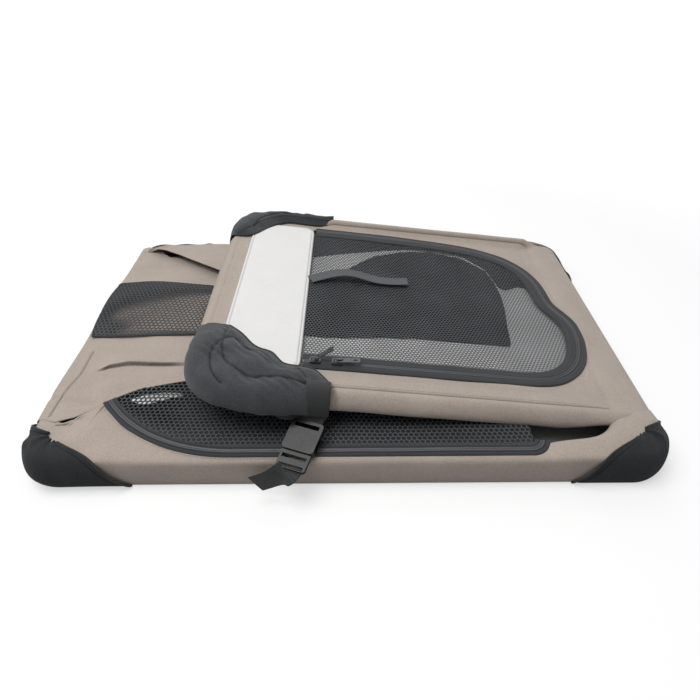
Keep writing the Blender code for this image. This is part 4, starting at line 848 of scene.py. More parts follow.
class Finishes:
    """All the crate's finishes, each made once."""

    def __init__(self) -> None:
        """Makes the materials."""
        taupe, charcoal = (0.410, 0.346, 0.297), (0.040, 0.0445, 0.049)
        self.taupe = WovenCloth("taupe_weave", taupe).make()
        self.black = WovenCloth("charcoal_weave", charcoal, thread=0.0010, fleck=0.80, mottle=0.22, fuzz=0.22).make()
        # painted shade: the base caps get the top caps' charcoal cloth in a darker copy, since their faces are turned
        # from the key light
        self.shaded_base_black = WovenCloth("base_cap_weave_shaded", (0.0175, 0.0195, 0.022), thread=0.0010, fleck=0.80, mottle=0.25,
                                     fuzz=0.08).make()
        # one near-black cloth for the dark linings and for sheets of painted shadow: the front wall's inner strip, the
        # pocket's side and the door's shadow band
        self.lining_dark_and_shadow = WovenCloth("dark_lining_and_shadow", (0.0060, 0.0066, 0.0074), fleck=0.2, fuzz=0.0).make()
        self.lining_pale = WovenCloth("pale_lining", (0.86, 0.87, 0.85), fleck=0.10, mottle=0.25).make()
        self.cream = WovenCloth("cream_weave", (0.86, 0.845, 0.805), thread=0.0008, fleck=0.045, mottle=0.04,
                                fuzz=0.1).make()
        self.door_mesh = OpenMesh("door_knit", (0.090, 0.095, 0.102)).make()
        self.side_mesh = OpenMesh("side_knit", (0.055, 0.059, 0.064), pitch=0.0054, row=0.0100, hole=0.40).make()
        self.pocket_mesh = OpenMesh("pocket_knit", (0.056, 0.060, 0.064), pitch=0.0056, row=0.0102, hole=0.40).make()
        self.tape = ZipTape("zip_tape_weave", (0.024, 0.0265, 0.030)).make()
        self.binding = ZipTape("binding_tape", (0.015, 0.0165, 0.018), rib=0.0014).make()
        self.coil = NylonCoil("zip_coil_nylon", (0.045, 0.048, 0.053)).make()
        self.webbing = Webbing("strap_weave", (0.026, 0.0275, 0.029)).make()
        self.tie = Webbing("tie_weave", (0.085, 0.090, 0.100), rib=0.0012, lift=0.0002).make()
        self.thread = ZipTape("sewing_thread", (0.24, 0.20, 0.17), rib=0.0006).make()
        self.dark_thread = ZipTape("dark_thread", (0.030, 0.032, 0.035), rib=0.0006).make()
        self.pale_thread = ZipTape("pale_thread", (0.62, 0.60, 0.56), rib=0.0006).make()
        self.steel = BareMetal("tube_paint", (0.42, 0.43, 0.44), metallic=0.55, roughness=0.42).make()
        self.pin = BareMetal("pin_steel_bright", (0.62, 0.62, 0.62), roughness=0.3).make()
        self.slider = BareMetal("slider_plating", (0.13, 0.135, 0.145), metallic=0.75, roughness=0.36).make()
        self.hinge = MouldedPlastic("hinge_moulding", (0.03, 0.03, 0.032), roughness=0.5).make()
        self.buckle = MouldedPlastic("buckle_moulding", (0.0060, 0.0060, 0.0066), roughness=0.27, shine=0.34).make()
        self.floor = FibreBoard("floor_fibre", (0.33, 0.33, 0.33)).make()


# ---------------------------------------------------------------- shared small parts


class Piece:
    """Puts a finished object in place: it rides a body or has its placement baked in, its replaced nodes are hidden and
    it is logged.
    """

    @staticmethod
    def ride(piece: Thing, body: str, slot: Slot, *replaced: str) -> Thing:
        """The piece moves with a body.

        Args:
            piece: the object.
            body: the CAD body's name.
            slot: the record's material slot; not used.
            replaced: CAD nodes that it stands for.

        Returns:
            The object.
        """
        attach(piece, body)
        return Piece.note(piece, slot, replaced)

    @staticmethod
    def blend(piece: Thing, bodies: tuple[str, str], start: tuple, end: tuple, slot: Slot,
              *replaced: str) -> Thing:
        """Bakes the piece's placement into its mesh, hides the replaced nodes and logs it."""
        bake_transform(piece)
        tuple(start)
        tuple(end)
        return Piece.note(piece, slot, replaced)

    @staticmethod
    def cloth(piece: Thing, hold: Hold, rests_on: str, body: str, slot: Slot, *replaced: str,
              length: float | None = None) -> None:
        """A sheet of cloth that moves with a body, its area and flat rectangle worked out first."""
        declare_sheet(piece, length)
        Piece.ride(piece, body, slot, *replaced)

    @staticmethod
    def note(piece: Thing, slot: Slot, replaced: tuple[str, ...]) -> Thing:
        """Hides the replaced nodes and logs the piece."""
        if replaced:
            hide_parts(*replaced)
        log.info("%s: %d faces", piece.name, len(piece.data.polygons))
        return piece


def coil_chain(name: str, track: Track, base: float, finish: Material, place: Callable,
               lift: Callable | None = None) -> Thing:
    """A closed zip's coil: two rows of rounded teeth that alternate, with a groove between them.

    Heights follow two cosine humps across the chain; along it each hump swells by |sin| of the length
    over the pitch, half a pitch apart on the two sides.

    Args:
        name: the piece's name.
        track: the line it follows, but for a millimetre at each end.
        base: the tape's height under it.
        finish: its material.
        place: what brings (x, y, height) into the row frame.
        lift: height added along the way, from its x and y.

    Returns:
        The object.
    """
    start, stop, pitch = 0.001, track.length - 0.001, 0.0021
    along = np.linspace(start, stop, int((stop - start) / pitch * 4) + 1)
    across = mm([-2.7, -2.4, -1.6, -0.8, 0, 0.8, 1.6, 2.4, 2.7])
    crown = np.array([0.0, 0.45, 1.0, 0.75, 0.30, 0.75, 1.0, 0.45, 0.0])
    beat = np.abs(np.sin(math.pi * (along[:, None] / pitch + 0.25 * np.sign(across)[None])))
    flat = track.beside(along, across)
    level = base + 0.0017 * crown[None] * (0.55 + 0.45 * beat)
    level = level + (lift(flat[..., 0], flat[..., 1]) if lift is not None else 0.0)
    # the marked share is largest on the tooth crowns, where the coil's colour is painted lighter
    return sheet_piece(name, place(lifted(flat, level)), finish, UP, 0.0, marks={"paler": beat * crown[None]})


def stitch_row(name: str, line: Array, outward: Array | tuple, finish: Material,
               radius: float) -> Thing:
    """A row of sewn stitches: short rounded beads laid end to end along a line.

    Each bead is a ring of six points swept over five stations whose radius is sqrt(1 - t^2), so it closes.

    Args:
        name: the piece's name.
        line: points of the sewn line, in the row frame.
        outward: the way the cloth faces, or its directions at those points.
        finish: the thread's material.
        radius: the thread's radius.

    Returns:
        The object.
    """
    length, gap, around, stations = 0.0026, 0.0010, 6, 5
    along = lengths_along(line)
    starts = np.arange(gap, along[-1] - length, length + gap)
    normals = np.broadcast_to(np.asarray(outward, float), line.shape)
    shares = np.array([-1.0, -0.8, 0.0, 0.8, 1.0])
    at = starts[:, None] + length * (shares[None] + 1) / 2
    centre = np.stack([np.interp(at, along, line[:, axis]) for axis in range(3)], axis=-1)
    out = np.stack([np.interp(at, along, normals[:, axis]) for axis in range(3)], axis=-1)
    ahead = centre[:, -1:] - centre[:, :1]
    beside = unit(np.cross(out, ahead))
    turn = np.linspace(0, 2 * math.pi, around + 1)[:-1]
    swell = radius * np.sqrt(np.maximum(1 - shares**2, 0.02))
    ring = np.cos(turn)[:, None] * beside[:, :, None] + np.sin(turn)[:, None] * out[:, :, None]
    points = centre[:, :, None] + ring * swell[None, :, None, None] + out[:, :, None] * radius * 0.3
    points = points.reshape(-1, 3)
    bead = around * stations
    first = (np.arange(len(starts)) * bead)[:, None, None]
    every = (grid_faces(stations, around, closed=True)[None] + first).reshape(-1, 4)
    caps = np.stack([np.arange(around)[::-1], np.arange(bead - around, bead)])
    tips = (caps[None] + first).reshape(-1, around)
    quad = points[every[0]]
    if looks_in(quad, quad.mean(0) - points[:bead].mean(0)):
        every, tips = every[:, ::-1], tips[:, ::-1]
    uv = np.stack([np.repeat(at.ravel(), around), np.tile(turn * radius, len(starts) * stations)], axis=1)
    return add_mesh(name, points, [*every.tolist(), *tips.tolist()], finish, uv)


def spline_basis(controls: int, samples: int) -> Array:
    """Weights of a clamped cubic B-spline, by de Boor's recursion: each sample is a blend of four controls."""
    degree = 3
    knots = np.concatenate([np.zeros(degree), np.linspace(0.0, 1.0, controls - degree + 1), np.ones(degree)])
    at = np.linspace(0.0, 1.0 - 1e-9, samples)[:, None]
    weights = ((knots[None, :-1] <= at) & (at < knots[None, 1:])).astype(float)
    for order in range(1, degree + 1):
        low, high = knots[: -order - 1], knots[order:-1]
        rise = np.divide(at - low, high - low, out=np.zeros((samples, len(low))), where=high > low)
        low, high = knots[1:-order], knots[order + 1 :]
        fall = np.divide(high - at, high - low, out=np.zeros((samples, len(low))), where=high > low)
        weights = rise * weights[:, :-1] + fall * weights[:, 1:]
    return weights


def loft(rows: Array | list, samples: int) -> Array:
    """A surface drawn over control rows, (n, columns, 3), by a cubic B-spline from the first to the last row."""
    rows = np.asarray(rows, float)
    return np.einsum("sn,nck->sck", spline_basis(len(rows), samples), rows)


# ---------------------------------------------------------------- the base


@dataclass
class BaseTub:
    """The base: its cloth band, the continuous front shell, and four puffed corner caps."""

    finishes: Finishes
    foot: float = 0.0007
    belly: float = 0.0012

    def build(self) -> None:
        """Makes all the base's cloth."""
        self.band()
        self.front_shell()
        for cap in (
            CornerCap("base_cap_front_left_cloth", "base_cap_front_left", -1, -1, 0.102, 0.080, 0.0445, 0.0030),
            CornerCap("base_cap_front_right_cloth", "base_cap_front_right", 1, -1, 0.092, 0.080, 0.0475, 0.0003, 0.64),
            CornerCap("base_cap_back_left_cloth", "base_cap_back_left", -1, 1, 0.120, 0.150, 0.0, 0.0006, 1.0),
            CornerCap("base_cap_back_right_cloth", "base_cap_back_right", 1, 1, 0.120, 0.120, 0.0, 0.0, 0.80),
        ):
            cap.build(self.finishes)

    def band(self) -> None:
        """The band: a section of foot, slightly bellied side, rounded edge and turned-in lip, carried round."""
        track = base_track()
        stations, levels = 720, 26
        along = np.linspace(0.0, track.length, stations + 1)[:-1]
        section = np.array([(-0.0040, 0.0006), (-0.0014, self.foot), (-0.0008, 0.0040), (-0.0003, 0.0120),
                            (-0.0002, 0.0210), (-0.0004, 0.0290), (-0.0012, 0.0336), (-0.0034, 0.0358),
                            (-0.0060, 0.0360), (-0.0100, 0.0352)])
        offset, height = loft(section[:, None], levels)[:, 0].T
        places, normal = track.at(along), track.normal(along)
        side = bell(height, 0.018, 0.012)[:, None]
        swell = 0.0008 * undulation(places[:, 0], places[:, 1], 0.11, 3)[None] * side
        flat = places[None] + normal[None] * (offset[:, None] + swell)[..., None]
        grid, facing = lifted(flat, height[:, None]), lifted(normal, 0.6)
        piece = sheet_piece("base_band_cloth", grid, self.finishes.taupe, facing[None], closed=True)
        Piece.cloth(piece, Hold.STRETCHED, "floor_panel", "base", Slot.TAUPE, "base_band")

    def front_shell(self) -> None:
        """One cloth up the front, over the edge and in to the zip, which rises to a lip at the right.

        Each station has nine controls: the foot, three up the side, two over the edge, two on the swelling and the
        inner end. That end follows the fold at the left corner, then the zip's outer edge, then the lip's inside.
        """
        zip_track = SideDoor.track()
        left = mm([(140, -312, -142, 36.5), (170, -309, -164, 36.8), (192, -305, -175, 37.1),
                   (221.8, -295, -173, 37.6), (251.7, -285, -164, 38), (268.7, -265.5, -145, 37.8)])
        at = np.linspace(0.140, 0.2687, 70)
        inner = [natural_spline(left[:, 0], left[:, 1:], at)]
        outer = [at]
        run = np.linspace(0.002, zip_track.length - 0.022, 330)
        zip_edge = zip_track.at(run, 0.0058)
        inner.append(lifted(zip_edge, 0.0371))
        outer.append(0.5437 + zip_edge[:, 0] - 0.006 * (1 - smooth(run, 0.0, 0.12)))
        right = mm([(740, 195, -216.5, 37.2), (751.3, 205, -210, 37.2), (763.7, 216, -206, 36.2),
                    (783.7, 236, -203.5, 36.4), (809.3, 260, -198.5, 36.6), (823.7, 272, -190, 36.6),
                    (835.7, 280, -180, 36.4), (865.6, 290, -173, 36.2), (895.4, 300, -170, 36), (925, 310, -164, 36)])
        at = np.linspace(outer[-1][-1] + 0.002, 0.925, 110)
        inner.append(natural_spline(right[:, 0], right[:, 1:], at))
        outer.append(at)
        inner_end, outer_at = np.concatenate(inner), np.concatenate(outer)
        track = base_track()
        edge = track.at(outer_at, -0.0030)
        gap = np.linalg.norm(edge - inner_end[:, :2], axis=1)
        lip = smooth(outer_at, 0.742, 0.775) * (1 - smooth(outer_at, 0.90, 0.93))
        lip_rise = 0.0035 + 0.0042 * smooth(outer_at, 0.76, 0.85)
        swell = 0.0052 * smooth(gap, 0.012, 0.05) * (1 - lip) + lip * lip_rise
        middle = edge + (inner_end[:, :2] - edge) * (0.45 + 0.15 * lip)[:, None]
        crest = edge + (inner_end[:, :2] - edge) * (0.80 + 0.05 * lip)[:, None]

        bare = 1 - smooth(outer_at, 0.760, 0.800)
        fold = 0.0012 * undulation(outer_at, 0.0, 0.09, 8) * bare
        belly = self.belly * bare
        controls = [
            lifted(track.at(outer_at, -0.0010), self.foot),
            lifted(track.at(outer_at, belly * 0.6), 0.0060),
            lifted(track.at(outer_at, belly + fold), 0.0160),
            lifted(track.at(outer_at, belly * 0.9 + fold), 0.0270),
            lifted(track.at(outer_at, 0.0006), 0.0345 + 0.3 * swell),
            lifted(edge, 0.0372 + 0.5 * swell),
            lifted(middle, 0.0372 + swell * (1 + 0.15 * lip)),
            lifted(crest, 0.0373 + swell * (0.55 + 0.55 * lip)),
            inner_end,
        ]
        levels, middle_height = 46, 0.038
        grid = loft(controls, levels)
        wrinkle = undulation(grid[..., 0], grid[..., 1], 0.05, 5) * 0.0006 * smooth(grid[..., 2], 0.030, 0.038)
        grid[..., 2] += wrinkle * smooth(gap, 0.012, 0.05)[None]
        outward = (0.0, -0.5, 1.0)
        pleats = [lifted(np.array(ends), middle_height) for ends in (
            [(-0.3110, -0.1696), (-0.2832, -0.1699)], [(-0.3060, -0.1799), (-0.2908, -0.1801)])]
        grid, shade = imprint(grid, pleats, facing_normals(grid, outward), 0.0016, 0.0012, UP)
        piece = sheet_piece("front_shell", grid, self.finishes.taupe, outward, 0.0012, marks={"shade": shade})
        Piece.cloth(piece, Hold.STRETCHED, "base_band_cloth", "base", Slot.TAUPE, "front_side_wall")
        places = grid.reshape(-1, 3)[::3]
        for row, (offset, stop) in enumerate(((0.0098, 0.23), (0.0128, 0.20))):
            line = zip_track.at(np.linspace(0.006, stop, 200), offset)
            near = ((places[:, None, :2] - line[None]) ** 2).sum(-1).argmin(0)
            height = evenly(places[near, 2:] + 0.0003, 200)[:, 0]
            seam = lifted(line, height)
            stitches = stitch_row(f"front_zip_stitches_{row}", seam, UP, self.finishes.thread, THICK_THREAD)
            Piece.ride(stitches, "base", Slot.TAUPE)


@dataclass
class CornerCap:
    """A cloth cap over a base corner: wide at the foot, narrow at its rim, with a bound hem and small pleats."""

    name: str
    node: str
    side_x: int
    side_y: int
    foot_spread: float
    side_spread: float
    rim_height: float
    puff: float
    fullness: float = 1.0
    foot_z: float = 0.0009
    columns: int = 121
    rows: int = 56

    def build(self, finishes: Finishes) -> None:
        """Makes the cap and its hem.

        Seen at the front-left corner, station t runs from -1 on the left side to 1 on the front. The rows are
        levels of a B-spline whose reach along the outline falls from the foot's to the rim's, so the hem slants.
        """
        track = base_track()
        corner = 0.192 + CORNER_RADIUS * math.pi / 4
        share = np.linspace(-1.0, 1.0, self.columns)
        heights = np.array([self.foot_z, 0.0040, 0.0120, 0.0220, 0.0310, 0.0370, 0.0410, 0.0430, 0.0432, 0.0410])
        outsets = np.array([0.0008, 0.0040, 0.0068, 0.0070, 0.0050, 0.0018, -0.0045, -0.0120, -0.0190, -0.0240])
        long_way = np.array([1.0, 0.98, 0.91, 0.83, 0.77, 0.72, 0.63, 0.47, 0.33, 0.24])
        short_way = np.array([1.0, 0.97, 0.87, 0.73, 0.61, 0.52, 0.45, 0.38, 0.31, 0.26])
        if self.side_y > 0:
            heights[4:] = [0.0298, 0.0336, 0.0350, 0.0353, 0.0349, 0.0336]
            outsets = np.array([0.0, 0.0030, 0.0044, 0.0044, 0.0036, 0.0020, -0.0004, -0.0022, -0.0040, -0.0048])
            long_way = short_way = np.array([1.0, 0.99, 0.96, 0.92, 0.87, 0.82, 0.78, 0.75, 0.73, 0.72])
        else:
            heights[5:] += np.array([0.0, 0.5, 1.0, 1.0, 1.0]) * (self.rim_height - 0.0435)
        controls = []
        for outset, height, far, near in zip(outsets, heights, long_way, short_way):
            reach = np.where(share > 0, far * self.foot_spread, near * self.side_spread)
            at = corner + share * reach
            swell = self.puff * bell(share * reach, 0.004, 0.045) * bell(height, 0.020, 0.016)
            ripple = 0.0005 * np.sin(share * 13 + height * 60) * smooth(height, 0.02, 0.04)
            full = self.fullness if outset > 0.001 else 1.0
            flat = track.at(at, outset * full + swell + ripple)
            controls.append(lifted(flat, height))
        grid = loft(controls, self.rows)
        peak = 0.0030 * (self.side_y < 0)
        grid[..., 2] += peak * bell(share, -0.25, 0.20)[None] * smooth(grid[..., 2], 0.038, 0.043)
        outward = grid - np.array([-HALF_X + CORNER_RADIUS, -HALF_Y + CORNER_RADIUS, 0.0])
        outward[..., 2] = 0.02
        normal = facing_normals(grid, outward)
        creases = undulation(share[None], grid[..., 2] * 6, 0.35, 11 + self.side_x)
        grid = grid + normal * (0.0009 * creases * smooth(grid[..., 2], 0.004, 0.02))[..., None]
        hem_in = from_ends(self.columns)[None] * np.linspace(1.75, 0.45, self.rows)[:, None]
        ridge = np.exp(-(((hem_in - 7.0) / 1.1) ** 2))
        grid = grid - normal * (ridge * 0.0007)[..., None]
        marks = {"shade": ridge * 0.9, "paler": 0.35 * bell(grid[..., 2], 0.043, 0.004)}
        flip = np.array([-self.side_x, -self.side_y, 1.0])
        mirrored = grid * flip
        piece = sheet_piece(self.name, mirrored, finishes.shaded_base_black, outward * flip, 0.0014, marks=marks)
        Piece.ride(piece, "base", Slot.BLACK, self.node)
        for end, column in (("side", 0), ("long", -1)):
            trim = cord_trim(f"{self.name}_binding_{end}", evenly(mirrored[:, column], 60), BINDING, finishes.binding)
            Piece.ride(trim, "base", Slot.BLACK)


def cord_trim(name: str, line: Array, radius: float, finish: Material,
              flat: float = 1.0) -> Thing:
    """A bound edge: a circle of points carried along a line, its frame turned by the line's own slope.

    Args:
        name: the piece's name.
        line: points in the row frame, (n, 3).
        radius: the binding's radius.
        finish: its material.
        flat: how flattened it is in height.

    Returns:
        The object, closed at both ends.
    """
    count, sides = len(line), 8
    ahead = unit(np.gradient(line, axis=0))
    beside = unit(np.cross(ahead, np.where(np.abs(ahead[:, 2:3]) > 0.9, [[1.0, 0.0, 0.0]], [UP])))
    above = np.cross(beside, ahead)
    turn = np.linspace(0, 2 * math.pi, sides + 1)[:-1]
    reach = radius * np.sqrt(np.clip(from_ends(count) / 2.0, 0.04, 1.0))
    ring = np.cos(turn)[None, :, None] * beside[:, None] + np.sin(turn)[None, :, None] * above[:, None] * flat
    points = (line[:, None] + ring * reach[:, None, None]).reshape(-1, 3)
    faces = grid_faces(count, sides, closed=True)
    caps = np.stack([np.arange(sides)[::-1], (count - 1) * sides + np.arange(sides)])
    quad = points[faces[sides * (count // 2)]]
    if looks_in(quad, quad.mean(0) - line[count // 2]):
        faces, caps = faces[:, ::-1], caps[:, ::-1]
    uv = np.stack([np.repeat(lengths_along(line), sides), np.tile(turn * radius, count)], axis=1)
    return add_mesh(name, points, [*faces.tolist(), *caps.tolist()], finish, uv)


@dataclass
class SideDoor:
    """The front wall's zipped mesh door, folded in on the base, and the cloth strip inside it."""

    finishes: Finishes
    level: float = 0.0366

    @staticmethod
    def track() -> Track:
        """The zip's middle: a wide arc from its left end, a straight front and a tight right turn."""
        wide = np.linspace(math.radians(216.2), math.radians(270), 90)
        tight = np.linspace(math.radians(270), math.radians(350), 30)
        line = np.concatenate([
            np.stack([-0.115 + 0.1835 * np.cos(wide), -0.0337 + 0.1835 * np.sin(wide)], axis=1),
            np.stack([0.186 + 0.014 * np.cos(tight), -0.2032 + 0.014 * np.sin(tight)], axis=1),
        ])
        return Track(line)

    @staticmethod
    def inner_line(x: Array) -> Array:
        """How far back the mesh reaches at each x."""
        xs = mm([-262, -250, -236.4, -205, -170, -120, -65, -20, 30, 80, 140, 200])
        ys = mm([-144, -133.5, -124.3, -116.5, -109.5, -108, -108.5, -115, -130, -142, -146, -146])
        return natural_spline(xs, ys[:, None], x)[:, 0]

    def build(self) -> None:
        """Makes mesh, inner strip, tape and coil."""
        track = self.track()
        at = np.linspace(0.0, track.length - 0.012, 420)
        outer = track.at(at, -0.0030)
        x = np.clip(outer[:, 0] + 0.006 * (1 - smooth(at, 0, 0.06)), -0.262, 0.199)
        inner = np.stack([x, np.maximum(self.inner_line(x), outer[:, 1] + 0.002)], axis=1)
        rows = np.linspace(0.0, 1.0, 60)
        flat, share = between(outer, inner, rows), rows[:, None]
        height = self.level + 0.0011 * undulation(flat[..., 0], flat[..., 1], 0.07, 21) * np.sin(math.pi * share)
        height = height + 0.0012 * smooth(share, 0.6, 1.0)
        # holes filled dark: along the zip the mesh's hem is dense, and from about x = -0.2 on the fill is painted
        # shadow under the upper frame
        hole_fill_and_shade = bell(share, 0.0, 0.16) * 1.1 + 0.55 * smooth(flat[..., 0], -0.20, -0.15) * bell(share, 0.35, 0.3)
        mesh = sheet_piece("front_side_net", lifted(flat, height), self.finishes.side_mesh, UP, 0.0007, uv=flat,
                           marks={"hole_fill_and_shade": hole_fill_and_shade})
        Piece.cloth(mesh, Hold.STRETCHED, "front_shell", "base", Slot.MESH, "front_side_mesh")

        back = inner + np.stack([0 * x, 0.012 * smooth(x, 0.05, -0.05) + 0.004], axis=1)
        strip = lifted(between(inner, back, np.linspace(-0.15, 1.0, 8)), self.level - 0.0012)
        # painted shadow: the taupe wall strip behind the mesh is coloured near black, as it lies in shade behind the
        # mesh and under the upper frame
        inner_strip = sheet_piece("front_wall_inner_strip", strip, self.finishes.lining_dark_and_shadow, UP, 0.0010)
        Piece.cloth(inner_strip, Hold.FOLDED, "front_side_net", "base", Slot.TAUPE)

        self.under_mesh(outer, inner)
        at = np.linspace(0.0, track.length, 620)
        places = track.at(at)
        section = mm([(-7.4, 37), (-7, 37.5), (-5.8, 37.6), (-5, 38.4), (-4.2, 37.7), (-3, 37.6), (0, 37.6),
                      (3, 37.6), (4.2, 37.7), (5, 38.5), (5.8, 37.7), (7.2, 37.6), (7.8, 36.9)])
        shade = np.tile([0.5, 0.1, 0.1, 0.0, 0.5, 0.7, 0.8, 0.7, 0.5, 0.0, 0.1, 0.2, 0.6], (len(at), 1))
        offsets, heights = section.T
        strip = lifted(track.beside(at, offsets), heights[None] + self.rise(places[:, 0], places[:, 1])[:, None])
        tape = sheet_piece("front_zip_tape", strip, self.finishes.tape, UP, 0.0007, marks={"shade": shade})
        Piece.cloth(tape, Hold.STRETCHED, "front_side_net", "base", Slot.ZIP, "front_side_zip",
                    length=float(lengths_along(places)[-1]))

        coil = coil_chain("front_zip_coil", track, 0.0375, self.finishes.coil, np.asarray, self.rise)
        Piece.ride(coil, "base", Slot.ZIP)

    @staticmethod
    def rise(x: Array, y: Array) -> Array:
        """The unevenness that tape and coil share, so that the coil stays on the tape."""
        return 0.0005 * undulation(x, y, 0.08, 4) + 0.0004

    def under_mesh(self, outer: Array, inner: Array) -> None:
        """The dark cloth under the mesh, with a pale slip of the lining showing at its left."""
        flat = between(outer, inner, np.linspace(-0.02, 1.02, 24))
        grid = lifted(flat, 0.0338 + 0.0010 * undulation(flat[..., 0], flat[..., 1], 0.06, 2))
        dark = sheet_piece("side_net_lining", grid, self.finishes.lining_dark_and_shadow, UP, 0.0008, uv=flat)
        Piece.cloth(dark, Hold.LAID, "lower_wall_cloth", "base", Slot.BLACK)
        patches = sheet_piece("side_net_pale_patch", self.pale_patch(), self.finishes.lining_pale, UP, 0.0005)
        Piece.cloth(patches, Hold.LAID, "side_net_lining", "base", Slot.TAUPE)

    def pale_patch(self) -> Array:
        """A slip of pale lining under the mesh's upper left part, between two curves."""
        top = curve(mm([(-242, -138, 35.2), (-225, -131, 35.2), (-205, -128, 35.2), (-185, -129, 35)]), 60)
        low = curve(mm([(-240, -140, 35.2), (-226, -146, 35.2), (-208, -141, 35.2), (-185, -133, 35)]), 60)
        return between(low, top, np.linspace(0, 1, 8))


# ---------------------------------------------------------------- the lower end frame


